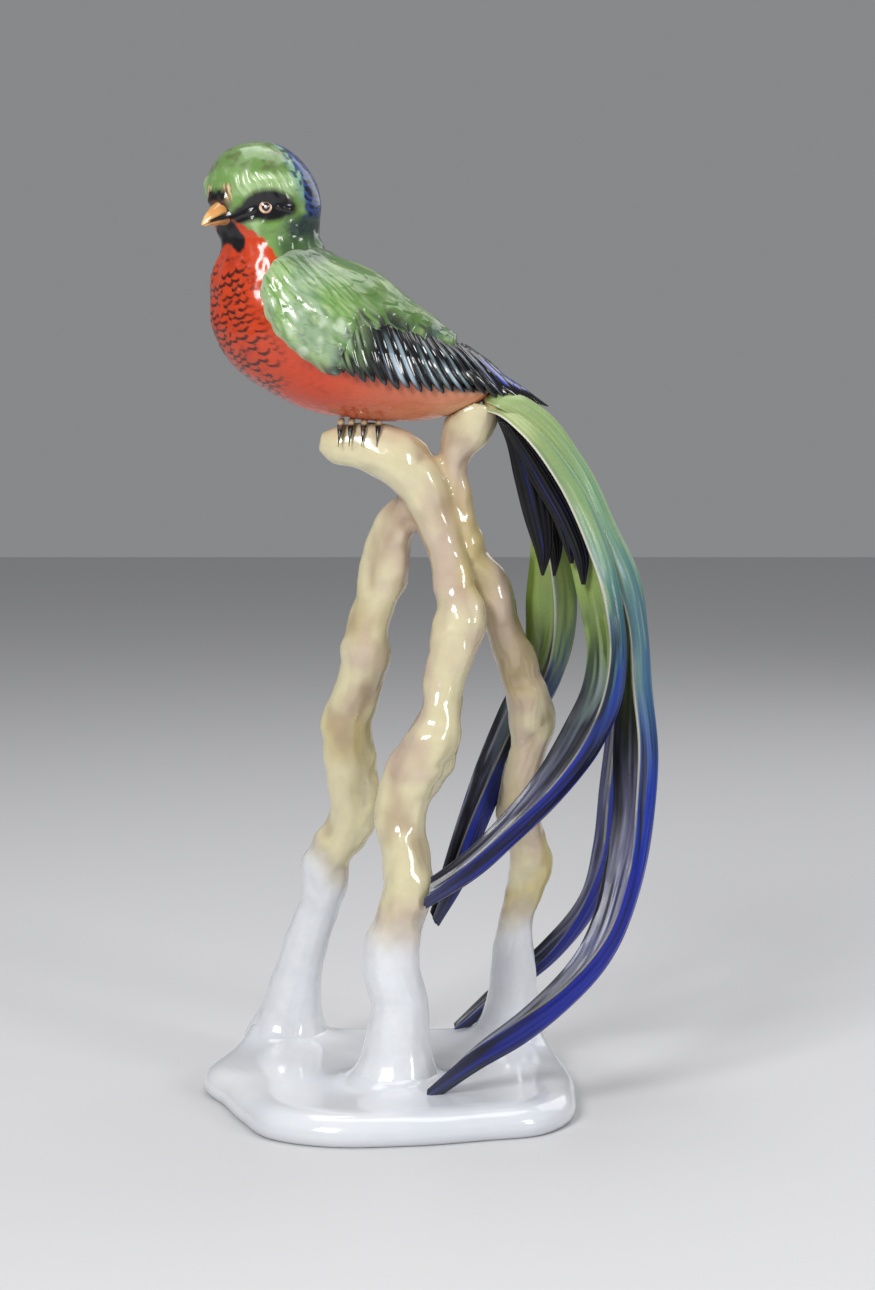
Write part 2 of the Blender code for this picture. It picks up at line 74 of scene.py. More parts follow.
# Head and torso rings from crown to rump: back x, back z, belly x, belly z, half width
BODY = [
    (-50.5, 381.9, -52.5, 381.9, 1.0), (-47.5, 381.4, -55.5, 381.4, 4.6),
    (-43, 380.2, -60, 379.9, 9.4), (-37, 376.9, -66, 376.6, 15.4), (-31.5, 371, -70.2, 370.5, 19.6),
    (-28, 364.5, -71.8, 364, 21.4), (-26.6, 357, -71.0, 356.5, 21.2), (-27.0, 350.5, -68.4, 349, 19.8),
    (-27.4, 345.2, -66.2, 342.8, 18.6), (-25.4, 340.5, -67, 338.2, 19.2), (-20, 335.8, -69.2, 332, 20.8),
    (-12, 331, -70.6, 323, 23.2), (-4, 326, -70.3, 312, 25.5), (4, 319.5, -67, 302, 26.8),
    (12, 313.5, -60, 293, 27.0), (20, 307.5, -49, 285, 26.2), (27, 302.5, -35, 278, 24.2),
    (33, 298, -18, 274, 21.2), (38, 294.5, 2, 272.5, 17.4), (41, 291.5, 20, 274, 13.4),
    (42.5, 289, 32, 278, 9.4), (42, 287, 37, 281, 5.5), (40.5, 285.5, 39.5, 284.5, 0.8)]
NECK_RING = 9             # the last of the head's rings
# Rings that shape the folded wing tips, same columns, carried on from the torso
WING_TIP = [
    (45, 288, 37, 281.5, 9.0), (50, 285, 44, 281, 7.0), (56, 282, 52, 279, 4.6),
    (61.5, 278.6, 59.5, 277.4, 1.6), (62.6, 278, 62.2, 277.8, 0.5)]
COVERT_RELIEF = 3.7
COVERT_WALL = 2.4
FLIGHT_RELIEF = 2.2
FLIGHT_WALL = 1.3
NEAR_MIDDLE = 0.2         # how close the left flight feathers come to the right ones, halved
# Side outline of the green coverts, (x, z)
COVERT_OUTLINE = [
    (-29, 342), (-38, 340), (-45, 335.5), (-48.8, 328.5), (-49.3, 321), (-47, 312.5), (-42.8, 306),
    (-37.3, 300.5), (-31, 295.5), (-25, 291.2), (-19, 290.8), (-16, 297), (-14, 304), (-10, 311),
    (-5, 307), (0, 310.5), (5, 305.5), (9, 307.5), (14, 303.5), (18, 305.5), (24, 300),
    (27, 302), (31, 299), (35, 299.5), (39, 296.5), (44, 296), (46, 302), (30, 314),
    (8, 326), (-12, 337), (-22, 341)]
# Flight feathers as root x, root z, tip x, tip z
FLIGHT_LINES = [
    (-25, 304, -21, 292.6), (-18, 308, -13, 289.4), (-12, 312, -5, 286.6), (-5, 313, 4, 284.6),
    (2, 312.5, 13, 283.6), (9, 311, 21.5, 283.2), (15, 309.5, 30, 283.2), (21, 307, 38, 282.6),
    (27, 304, 46, 281.6), (31.5, 301.5, 52.5, 280.4), (35, 299.5, 57.5, 279.6), (38.5, 297, 61, 278.9),
    (43, 294, 62.8, 278.4)]

# Tail streamers: each station is the near edge, the ridge and the far edge, (x, y, z)
SHORT_LEFT = [
    ((38.5, -9, 276.5), (40, -5.5, 279.4), (39, -3, 279)),
    ((42, -12, 275.5), (45, -7, 279.0), (43, -3, 278.2)),
    ((51, -17, 268.5), (56, -9.5, 271.8), (52, -3.2, 267)),
    ((65, -22, 250), (73, -13.5, 251), (64, -4, 247)),
    ((76, -25, 227), (83.5, -17, 228), (70, -7, 223)),
    ((84, -27, 202), (89.5, -19, 203), (75, -10, 200)),
    ((86, -28, 184), (91.5, -20.5, 183), (78, -11, 184)),
    ((83, -29, 165), (89.5, -21.5, 163), (76, -12, 168)),
    ((76, -30, 149), (82, -22, 146), (69, -13, 153)),
    ((63, -31, 131), (68, -23, 127), (58, -14, 134)),
    ((45, -32, 114), (50, -25, 109), (42, -17, 115)),
    ((26, -33, 97), (29, -28, 92), (24, -21, 99)),
    ((14, -31, 87), (14, -27, 83), (12, -23, 91))]
LONG_LEFT = [
    ((38, -9, 280), (40, -5, 283.4), (39, -1.3, 283)),
    ((41, -12, 278.8), (46, -7, 283.2), (44, -1.3, 282.6)),
    ((53, -11, 272.0), (59.5, -7.5, 277), (57.5, -1.3, 275)),
    ((68.5, -13.8, 255.5), (75.5, -9, 257.5), (72, -1.3, 255)),
    ((80.5, -16.6, 231), (88.4, -10.5, 231.5), (84.5, -1.3, 230)),
    ((89, -17.5, 210.5), (98, -10.5, 210), (92, -1.3, 208)),
    ((94, -15.5, 193), (101, -10, 190), (93, -1.3, 188)),
    ((95.5, -17, 171), (103, -10, 166), (91, -1.5, 168)),
    ((98, -19, 146), (105, -12, 138), (89, -4, 144)),
    ((97, -23, 124), (103, -16, 113), (89, -8, 120)),
    ((94, -29, 98), (97.5, -22, 89), (85, -14, 96)),
    ((85, -35, 73), (88, -29, 66), (79, -21, 74)),
    ((67, -41, 53), (73, -35, 48), (68, -26, 57)),
    ((49, -45, 41), (54, -40, 33), (52, -33, 43)),
    ((32, -48, 30), (35, -44, 22.5), (34, -38, 30)),
    ((15, -48, 15), (15, -46, 9), (17, -42, 14))]
SHORT_RIGHT = [
    ((39, 3, 279), (40, 5.5, 279.4), (38.5, 9, 276.5)),
    ((43, 3.2, 278.2), (45, 7, 279.0), (42, 12, 275.5)),
    ((52, 5, 266), (56, 9.5, 271.8), (51, 17, 268.5)),
    ((56, 8, 245), (66, 13, 248), (56, 20, 248)),
    ((63, 12, 220), (71, 17, 222), (57, 24, 222)),
    ((66, 15, 200), (74, 21, 202), (55, 26, 200)),
    ((66, 20, 184), (73, 26, 184), (55, 31, 184)),
    ((63, 31, 168), (68, 37, 165), (52, 41, 169)),
    ((52, 42, 149), (58, 47, 144), (44, 49, 150)),
    ((43, 40, 130), (48, 44, 125), (36, 46, 131)),
    ((34, 27, 112), (39, 31, 107), (29, 33, 113)),
    ((25, 8, 92), (30, 12, 87), (22, 14, 94)),
    ((17, -6, 74), (19, -4, 71), (16, -3, 76))]
LONG_RIGHT = [
    ((39, 1.3, 283), (40, 5, 283.4), (38, 9, 280)),
    ((44, 1.3, 282.6), (46, 7, 283.2), (43, 13, 280.5)),
    ((57, 1.3, 275), (59.5, 7, 277), (56.5, 13.5, 275)),
    ((72, 1.3, 255), (75.5, 8, 257.5), (73, 15, 256.5)),
    ((84.5, 1.3, 230), (88.4, 8.5, 231.5), (85, 17, 231)),
    ((91, 2, 208), (97, 10, 210), (90, 18, 209)),
    ((92, 4, 188), (100, 12, 190), (91, 20, 189)),
    ((92, 7, 166), (100, 15, 166), (90, 23, 168)),
    ((90, 11, 142), (100, 20, 138), (88, 28, 143)),
    ((88, 17, 119), (98, 27, 113), (86, 35, 121)),
    ((86, 27, 92), (93, 37, 88), (84, 44, 95)),
    ((78, 39, 68), (83, 46, 64), (79, 52, 72)),
    ((64, 52.5, 45), (68, 57.5, 43), (64, 63.5, 50)),
    ((43, 61.5, 26), (46, 64, 24), (43, 68, 30)),
    ((26, 60, 12.5), (27, 62, 9), (26, 64.5, 14))]
STREAMER_WALL = 1.9
# Under-tail feathers: stations of left x, right x, height z, depth y
UNDER_TAIL = [
    [(42, 48, 275, -7.5), (46, 53, 266, -8), (50, 60.5, 250, -9), (54, 63.5, 234, -9),
     (58, 63.5, 221, -9), (60, 61, 212, -9)],
    [(44, 50, 275, 0), (48, 57, 264, 0.5), (54, 64, 247, 1), (60, 68, 231, 1.5),
     (64, 68, 219, 1.5), (65, 66, 211, 1.5)],
    [(44.5, 49, 271.5, -12.0), (50, 56, 263, -13.5), (59, 67, 247, -15.5), (67, 74, 233, -16),
     (73, 78, 219, -16), (75.5, 77, 209, -16)],
    [(43, 48.5, 272.5, -9.7), (49, 56.5, 264, -10.7), (57, 66, 248, -12.2), (64, 71, 236, -12.5),
     (68, 73, 226, -12.5), (71, 72.4, 217, -12.5)]]
# Mandibles: (reach ahead of the head's middle, height, half width, depth)
BEAK_UPPER = [
    (14, -3.3, 6.0, 7.6), (19, -3.8, 5.5, 6.7), (22, -4.4, 4.7, 5.6), (25, -5.4, 3.3, 3.9),
    (27.4, -6.6, 1.7, 2.1), (28.7, -7.5, 0.5, 0.7)]
BEAK_LOWER = [
    (14, -3.9, 5.3, 3.7), (19, -4.3, 4.8, 3.1), (22, -4.9, 4.0, 2.6), (25, -5.8, 2.6, 1.9),
    (27, -6.9, 1.2, 1.0), (27.9, -7.5, 0.4, 0.4)]
EYE_RADIUS = 3.3
EYE_BEARING = math.radians(58)
CLAW_X = [-19.6, -15.4, -10.4, -4.6]
# Edge of the puddle base, (x, y), and its rim: (height, inset from the edge)
BASE_OUTLINE = [
    (-76, 2), (-70, 34), (-58, 58), (-30, 70), (8, 72), (44, 69), (64, 50), (72, 18),
    (74, -16), (71, -45), (60, -61), (38, -69), (8, -77), (-24, -78), (-46, -67),
    (-58, -44), (-67, -20)]
BASE_RIM = [
    (0.0, 2.6), (0.5, 1.5), (1.8, 0.6), (4.0, 0.0), (6.2, 0.4), (8.4, 1.7), (10.4, 4.3),
    (11.6, 8), (12, 12)]
# Hollow under the base inside its foot ring: (height, inset from the edge)
BASE_HOLLOW = [(3.6, 13.4), (3.2, 12.4), (1.0, 11.9), (0.3, 11.5), (0.0, 10.9)]
FEET = [(2, -24, 15.0), (-46, 50, 14.0), (51, 49, 14.0)]     # x, y, radius of the branch feet
FOOT_SPREAD = 5.0         # how far the branches flare where they meet the base

# ---------------------------------------------------------------- numbers and paint


def paint(red, green, blue):
    """A linear colour from display values of 0 to 255."""
    value = np.array([red, green, blue], dtype=float) / 255
    return np.where(value <= 0.04045, value / 12.92, ((value + 0.055) / 1.055) ** 2.4)


CREAM, BEIGE, OCHRE = paint(212, 203, 166), paint(196, 176, 156), paint(196, 178, 108)
WHITE, COOL_WHITE = paint(230, 231, 233), paint(208, 211, 218)
RED, DEEP_RED, PEACH = paint(198, 62, 22), paint(140, 32, 14), paint(200, 112, 78)
PALE_PEACH, GREEN, PALE_GREEN = paint(214, 150, 112), paint(112, 150, 80), paint(166, 194, 142)
DARK_GREEN, OLIVE = paint(58, 88, 42), paint(84, 104, 32)
BLACK, BLUE = paint(9, 9, 13), paint(44, 70, 130)
TEAL, TEAL_GREY = paint(78, 124, 120), paint(98, 124, 122)
TAN, PINK_TAN, LINE_WHITE = paint(206, 148, 84), paint(196, 150, 128), paint(232, 230, 212)
LAVENDER, SLATE = paint(118, 120, 152), paint(64, 66, 92)


def blend(low, high, amount):
    """Between two colours or colour arrays, by an array of 0 to 1."""
    amount = np.clip(np.asarray(amount, dtype=float), 0, 1)[..., None]
    return low * (1 - amount) + high * amount


def coats(tone, *layers):
    """Lays coats of (colour, amount) one over another."""
    for colour, amount in layers:
        tone = blend(tone, colour, amount)
    return tone


def step(value, low, high):
    """0 below low, 1 above high and smooth between."""
    t = np.clip((value - low) / (high - low), 0, 1)
    return t * t * (3 - 2 * t)


def falling(value, low, high):
    """1 below low, 0 above high and smooth between."""
    return step(-value, -high, -low)


def near(value, inner, outer):
    """1 within inner of zero, 0 beyond outer and smooth between."""
    return falling(np.abs(value), inner, outer)


def band(value, low, rise, fall, high):
    """1 from rise to fall, 0 below low and above high and smooth between."""
    return step(value, low, rise) * falling(value, fall, high)


def hill(value, width):
    """A bell curve of height 1 round zero."""
    return np.exp(-(value / width) ** 2)


def turns(count):
    """Even steps once round a circle, in radians."""
    return np.linspace(0, 2 * math.pi, count, endpoint=False)


def noise(points, size, seed=0.0):
    """Smooth noise of -1 to 1, for features of about the given size."""
    p = np.asarray(points, dtype=float) / size + seed * 7.31
    cell = np.floor(p)
    f = p - cell
    f = f * f * (3 - 2 * f)
    total = np.zeros(p.shape[:-1])
    for corner in range(2 ** p.shape[-1]):
        bits = np.array([(corner >> axis) & 1 for axis in range(p.shape[-1])])
        weight = np.prod(np.where(bits, f, 1 - f), axis=-1)
        key = np.sin((cell + bits) @ np.array([12.9898, 78.233, 37.719])[:p.shape[-1]]) * 43758.5453
        total += weight * (key - np.floor(key))
    return total * 2 - 1


def noise_over(size, seed, *coordinates):
    """Noise over any coordinates whose shapes match."""
    return noise(np.stack(np.broadcast_arrays(*coordinates), axis=-1), size, seed)


def random_of(key):
    """A repeatable number of 0 to 1 for each whole-number key."""
    value = np.sin(np.asarray(key, dtype=float) * 12.9898) * 43758.5453
    return value - np.floor(value)


def smooth_path(points, count):
    """A smooth curve through rows of numbers, sampled at count even steps."""
    rows = np.array(points, dtype=float)
    flat = rows.reshape(len(rows), -1)
    knots = np.concatenate([[0.0], np.cumsum(np.linalg.norm(np.diff(flat[:, :3], axis=0), axis=1))])
    slopes = np.gradient(flat, knots, axis=0)
    where = np.linspace(0.0, knots[-1], count)
    left = np.clip(np.searchsorted(knots, where, side="right") - 1, 0, len(knots) - 2)
    span = (knots[left + 1] - knots[left])[:, None]
    t = (where - knots[left])[:, None] / span
    value = ((2 * t**3 - 3 * t**2 + 1) * flat[left] + (t**3 - 2 * t**2 + t) * span * slopes[left]
             + (3 * t**2 - 2 * t**3) * flat[left + 1] + (t**3 - t**2) * span * slopes[left + 1])
    return value.reshape((count,) + rows.shape[1:])


def closed_path(points, count):
    """A smooth closed curve through points in the plane, without a kink where it closes."""
    first = np.array(points[0], dtype=float)
    path = smooth_path(points[-3:] + points + points[:4], 16 * count)
    half = len(path) // 2
    gap = np.linalg.norm(path - first, axis=1)
    start, stop = int(np.argmin(gap[:half])), half + int(np.argmin(gap[half:]))
    return path[np.linspace(start, stop, count + 1)[:-1].round().astype(int)]


def inside_distance(points, outline):
    """Distance to a closed outline in the plane, positive inside."""
    outline = np.asarray(outline, dtype=float)
    nearest = np.full(len(points), 1e9)
    inside = np.zeros(len(points), dtype=bool)
    for a, b in zip(outline, np.roll(outline, -1, axis=0)):
        edge = b - a
        t = np.clip(((points - a) @ edge) / (edge @ edge), 0, 1)
        nearest = np.minimum(nearest, np.linalg.norm(points - (a + t[:, None] * edge), axis=1))
        crosses = (a[1] > points[:, 1]) != (b[1] > points[:, 1])
        rise = np.where(b[1] == a[1], 1e-9, b[1] - a[1])
        inside ^= crosses & (points[:, 0] < (b[0] - a[0]) * (points[:, 1] - a[1]) / rise + a[0])
    return np.where(inside, nearest, -nearest)


def rounded(outline, scale):
    """A closed outline of (bearing, height) made smooth, in millimetres."""
    return closed_path([(b * scale, z) for b, z in outline], 90)


def feather_scales(along, across, length, width):
    """Overlapping feather tips like roof tiles: height 0 to 1, distance to the tip, and a key."""
    row = along / length
    best_height = np.zeros_like(row)
    best_gap = np.zeros_like(row)
    best_key = np.zeros_like(row)
    for back in (0, 1):
        index = np.floor(row) - back
        shifted = across / width + 0.5 * (index % 2)
        column = np.round(shifted)
        offset = shifted - column
        reach = 1.62 - 1.7 * offset**2
        travelled = row - index
        covers = travelled < reach
        best_height = np.where(covers, travelled / reach, best_height)
        best_gap = np.where(covers, (reach - travelled) * length, best_gap)
        best_key = np.where(covers, index * 57 + column * 13, best_key)
    return best_height, best_gap, best_key


# ---------------------------------------------------------------- meshes


def metres(points):
    """Millimetres from the base's middle to metres in the frame."""
    points = np.asarray(points, dtype=float)
    shift = np.array([FRAME_MIDDLE.x - FIGURE_MIDDLE[0] * MM,
                      FRAME_MIDDLE.y - FIGURE_MIDDLE[1] * MM, TABLE])
    return points * MM + shift


def grid_normals(grid, closed):
    """Unit normals of a grid of points, whose columns may close on themselves."""
    if closed:
        around = np.roll(grid, -1, axis=1) - np.roll(grid, 1, axis=1)
    else:
        around = np.gradient(grid, axis=1)
    normal = np.cross(np.gradient(grid, axis=0), around)
    return normal / np.maximum(np.linalg.norm(normal, axis=2, keepdims=True), 1e-9)


def ring_normals(rings):
    """Outward unit normals of a body made of closed rings."""
    normal = grid_normals(rings, True)
    if ((rings - rings.mean(axis=(0, 1))) * normal).sum() < 0:
        return -normal
    return normal


def grid_faces(rows, columns, closed):
    """Quads of a grid, as an array."""
    last = columns if closed else columns - 1
    r, c = np.meshgrid(np.arange(rows - 1), np.arange(last), indexing="ij")
    a, b = r * columns + c, r * columns + (c + 1) % columns
    return np.stack([a, b, b + columns, a + columns], axis=-1).reshape(-1, 4)


def outward(mesh):
    """Turns a closed mesh's faces outward."""
    shape = bmesh.new()
    shape.from_mesh(mesh)
    bmesh.ops.recalc_face_normals(shape, faces=shape.faces)
    if shape.calc_volume(signed=True) < 0:
        bmesh.ops.reverse_faces(shape, faces=shape.faces)
    shape.to_mesh(mesh)
    shape.free()


def set_colours(mesh, colours):
    """Stores the painted colour of every vertex."""
    layer = mesh.color_attributes.new("paint", "FLOAT_COLOR", "POINT")
    values = np.ones((len(mesh.vertices), 4), dtype=np.float32)
    values[:, :3] = np.clip(colours, 0, 1)
    layer.data.foreach_set("color", values.ravel())


def piece(name, vertices, faces, colours, material, nodes, closed=True):
    """A finished piece of the figure, riding on the frame in place of its CAD nodes."""
    mesh = bpy.data.meshes.new(name)
    mesh.from_pydata(metres(vertices).tolist(), [], [tuple(int(i) for i in face) for face in faces])
    set_colours(mesh, colours)
    mesh.materials.append(material)
    if closed:
        outward(mesh)
    mesh.shade_smooth()
    made = bpy.data.objects.new(name, mesh)
    bpy.context.scene.collection.objects.link(made)
    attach(made, "root")
    if nodes:
        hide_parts(*nodes)
    return made


def closed_loft(rings):
    """Vertices and faces of a solid through rings, with a hub at both ends."""
    rows, columns = rings.shape[:2]
    vertices = np.concatenate([rings.reshape(-1, 3), [rings[0].mean(axis=0)], [rings[-1].mean(axis=0)]])
    faces = [tuple(face) for face in grid_faces(rows, columns, True)]
    for row, hub in ((0, rows * columns), (rows - 1, rows * columns + 1)):
        faces += [(row * columns + c, row * columns + (c + 1) % columns, hub) for c in range(columns)]
    return vertices, faces


def with_hubs(values):
    """Per-ring values stretched to the two hubs of a closed loft."""
    flat = values.reshape(-1, values.shape[-1])
    return np.concatenate([flat, [values[0].mean(axis=0)], [values[-1].mean(axis=0)]])


# ---------------------------------------------------------------- glazes


def add_node(material, kind, **inputs):
    """A new shader node with the named inputs set, where an underscore stands for a space."""
    made = material.node_tree.nodes.new(kind)
    for name, value in inputs.items():
        made.inputs[name.replace("_", " ")].default_value = value
    return made


def glaze(name, rough=0.12, grain=0.25, grain_size=900.0, bump=0.06, wax=0.0, coat=0.35, gloss=0.5):
    """Painted colour under clear glaze: brushed variation, faint waviness and a gloss coat."""
    material = bpy.data.materials.new(name)
    material.use_nodes = True
    link = material.node_tree.links.new
    shader = material.node_tree.nodes["Principled BSDF"]
    for label, value in (("IOR", 1.5), ("Specular IOR Level", gloss), ("Coat Weight", coat),
                         ("Coat Roughness", 0.03), ("Subsurface Weight", wax),
                         ("Subsurface Radius", (0.004, 0.003, 0.002))):
        shader.inputs[label].default_value = value
    colour = add_node(material, "ShaderNodeAttribute")
    colour.attribute_name = "paint"
    place = add_node(material, "ShaderNodeTexCoord")

    brush = add_node(material, "ShaderNodeTexNoise", Scale=grain_size, Detail=4.0, Roughness=0.6)
    link(place.outputs["Object"], brush.inputs["Vector"])
    strength = add_node(material, "ShaderNodeMapRange", To_Min=1.0 - grain, To_Max=1.0 + grain)
    link(brush.outputs["Fac"], strength.inputs["Value"])
    tinted = add_node(material, "ShaderNodeVectorMath")
    tinted.operation = "SCALE"
    link(colour.outputs["Color"], tinted.inputs[0])
    link(strength.outputs["Result"], tinted.inputs["Scale"])
    link(tinted.outputs["Vector"], shader.inputs["Base Color"])

    pool = add_node(material, "ShaderNodeTexNoise", Scale=140.0, Detail=2.0)
    link(place.outputs["Object"], pool.inputs["Vector"])
    dull = add_node(material, "ShaderNodeMapRange", To_Min=rough * 0.7, To_Max=rough * 1.5)
    link(pool.outputs["Fac"], dull.inputs["Value"])
    link(dull.outputs["Result"], shader.inputs["Roughness"])

    ripple = add_node(material, "ShaderNodeBump", Strength=bump, Distance=0.0006)
    link(pool.outputs["Fac"], ripple.inputs["Height"])
    link(ripple.outputs["Normal"], shader.inputs["Normal"])
    return material


# ---------------------------------------------------------------- base and branches


def make_base(material):
    """The puddle base: rounded rim, softly uneven top that climbs to the branch feet."""
    sides, inner = 300, 70
    outline = closed_path(BASE_OUTLINE, sides)
    centre = outline.mean(axis=0)
    away = outline - centre
    length = np.linalg.norm(away, axis=1, keepdims=True)
    rings = [np.column_stack([centre + away * share, np.full(sides, BASE_HOLLOW[0][0])])
             for share in (0.02, 0.4)]
    profile = BASE_HOLLOW + [tuple(row) for row in
                             smooth_path([(h, i, 0) for h, i in BASE_RIM], 26)[:, :2]]
    for height, inset in profile:
        rings.append(np.column_stack([centre + away * (length - inset) / length,
                                      np.full(sides, height)]))
    for share in np.linspace(1, 0.015, inner)[1:]:
        rings.append(np.column_stack([centre + away * (length - BASE_RIM[-1][1]) / length * share,
                                      np.full(sides, BASE_TOP)]))
    rings = np.array(rings)
    flat = rings.reshape(-1, 3)
    on_top = step(flat[:, 2], 8.0, 12.0)
    flat[:, 2] += on_top * (0.55 * noise(flat[:, :2], 34, 1) + 0.14 * noise(flat[:, :2], 16, 2))
    for x, y, radius in FEET:
        gap = np.hypot(flat[:, 0] - x, flat[:, 1] - y) - radius
        gap += 1.0 * noise(flat[:, :2], 16, 3)
        flat[:, 2] += on_top * 7.5 * np.exp(-np.clip(gap, 0, None) / 5.5)
    edge = (1 - on_top) * 0.5 * noise(flat, 30, 4)
    side = np.arange(len(flat)) % sides
    flat[:, :2] += edge[:, None] * away[side] / length[side]
    vertices, faces = closed_loft(rings)
    tone = blend(WHITE, COOL_WHITE, 0.5 + 0.5 * noise(vertices, 40, 5))
    made = piece("base_glazed", vertices, faces, tone, material, ["base"])
    made.data.set_sharp_from_angle(angle=math.radians(50))


def make_branches(material):
    """The three branches fused into one knobbly stand, painted cream fading to white feet."""
    parts = ["branch_front", "branch_breast", "branch_tail"]
    shape = bmesh.new()
    for name in parts:
        shape.from_mesh(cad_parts[name].data)
    mesh = bpy.data.meshes.new("branches_glazed")
    shape.to_mesh(mesh)
    shape.free()
    made = bpy.data.objects.new("branches_glazed", mesh)
    bpy.context.scene.collection.objects.link(made)
    remesh = made.modifiers.new("fuse", "REMESH")
    remesh.mode = "VOXEL"
    remesh.voxel_size = 1.0 * MM
    soften = made.modifiers.new("soften", "SMOOTH")
    soften.factor = 0.5
    soften.iterations = 8
    ready = bpy.data.meshes.new_from_object(made.evaluated_get(bpy.context.evaluated_depsgraph_get()))
    made.modifiers.clear()
    made.data = ready
    ready.name = "branches_glazed"
    count = len(ready.vertices)
    points = np.empty(count * 3)
    ready.vertices.foreach_get("co", points)
    points = points.reshape(-1, 3)
    normals = np.array([v.normal[:] for v in ready.vertices])
    local = (points - metres(np.zeros(3))) / MM
    above = band(local[:, 2], 14, 30, 255, 268)
    above *= 0.3 + 0.7 * step(local[:, 2], 45, 85)
    bulge = 1.7 * noise(local * (1, 1, 0.85), 12.5, 6) + 0.8 * noise(local, 6.5, 7)
    folds = (1 - np.abs(noise(local * (1, 1, 0.6), 14, 8))) ** 3
    points += normals * ((bulge - 0.8 * folds + 0.2) * above * MM)[:, None]
    for x, y, _ in FEET:
        side = local[:, :2] - np.array([x, y])
        gap = np.linalg.norm(side, axis=1)
        room = step(inside_distance(local[:, :2], BASE_OUTLINE), 7, 17)
        spread = FOOT_SPREAD * room * falling(gap, 26, 34)
        spread *= np.exp(-np.clip(local[:, 2] - BASE_TOP, 0, None) / 13)
        points[:, :2] += side / np.maximum(gap, 1)[:, None] * spread[:, None] * MM
    ready.vertices.foreach_set("co", points.ravel())
    patch = noise(local * (1, 1, 0.6), 21, 9)
    # the pinkish brown where the surface dips and folds is painted shade, over cream with beige and
    # ochre patches
    tone = coats(CREAM,
        (BEIGE, step(patch + 0.3 * noise(local, 6, 12), -0.25, 0.55)),
        (OCHRE, 0.6 * step(noise(local * (1, 1, 0.7), 17, 10), 0.1, 0.8)),
        (paint(160, 132, 110), 0.6 * step(-bulge + 0.8 * folds, 0.4, 2.2)))
    # each branch fades to white at its own height
    fade = np.interp(local[:, 0], [-35, -12, 15, 45], [95, 75, 73, 64])
    rise = local[:, 2] - fade + 7 * noise(local, 15, 11) + 2 * noise(local, 4, 13)
    tone = coats(tone,
        (paint(178, 160, 140), 0.5 * near(rise - 4, 0, 9)),
        (blend(WHITE, COOL_WHITE, 0.5), falling(rise, -11, 11)))
    set_colours(ready, tone)
    ready.materials.clear()
    ready.materials.append(material)
    ready.shade_smooth()
    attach(made, "root")
    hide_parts(*parts)


# ---------------------------------------------------------------- the bird


def body_grid(stations, rows, columns):
    """Rings of a body, each spanned by its back point, its belly point and its half width."""
    path = smooth_path(stations, rows)
    middle = np.column_stack([path[:, 0] + path[:, 2], np.zeros(rows), path[:, 1] + path[:, 3]]) / 2
    up = np.column_stack([path[:, 0] - path[:, 2], np.zeros(rows), path[:, 1] - path[:, 3]]) / 2
    angle = turns(columns)
    wide = np.abs(path[:, 4])[:, None, None] * np.array([0.0, 1.0, 0.0])
    return (middle[:, None] + up[:, None] * np.cos(angle)[None, :, None]
            + wide * np.sin(angle)[None, :, None])


def head_bearing(points):
    """Bearing from the beak's direction in degrees, left and right alike, and the height."""
    rel = points - HEAD_CENTRE
    ahead, aside = rel @ LOOK, rel @ LEFT
    return np.degrees(np.arctan2(np.abs(aside), ahead)), points[:, 2]


# Outlines on the head as bearing and height: the eye mask and the bib below the beak
MASK = [(14, 351.4), (22, 354.0), (30, 355.6), (38, 358.4), (48, 360.6), (58, 361.4), (68, 361.2),
        (78, 359.6), (87, 356.8), (89, 354.2), (82, 352.4), (72, 351.0), (60, 350.4), (48, 350.8),
        (36, 350.2), (27, 349.4), (18, 349.8)]
BIB = [(-3, 354), (14, 352), (20, 348.8), (28, 345.4), (31, 342.8), (30, 340.2), (26, 338.4),
       (21, 338.2), (15, 339.4), (8, 341.2), (-3, 342.2)]
BEARING_MM = 0.36         # millimetres on the skin for one degree of bearing
# Brow ridge, eye hollow, cheek, gape fold and nostril mound:
# (lift, bearing, spread in bearing, height, spread in height)
FACE_MOUNDS = [(1.0, 60, 30, 365, 3.4), (-1.2, 58, 19, 355.6, 3.8), (1.0, 62, 26, 346.6, 3.6),
               (-0.8, 27, 8, 352.5, 3.4), (1.5, 10, 7.0, 358.2, 2.2)]
# Thin folds of skin: (first bearing, last bearing, height at the first, height at the last)
FACE_FOLDS = [(16, 46, 350.6, 354.2), (24, 46, 349.4, 351.0), (70, 88, 355.4, 354.6)]


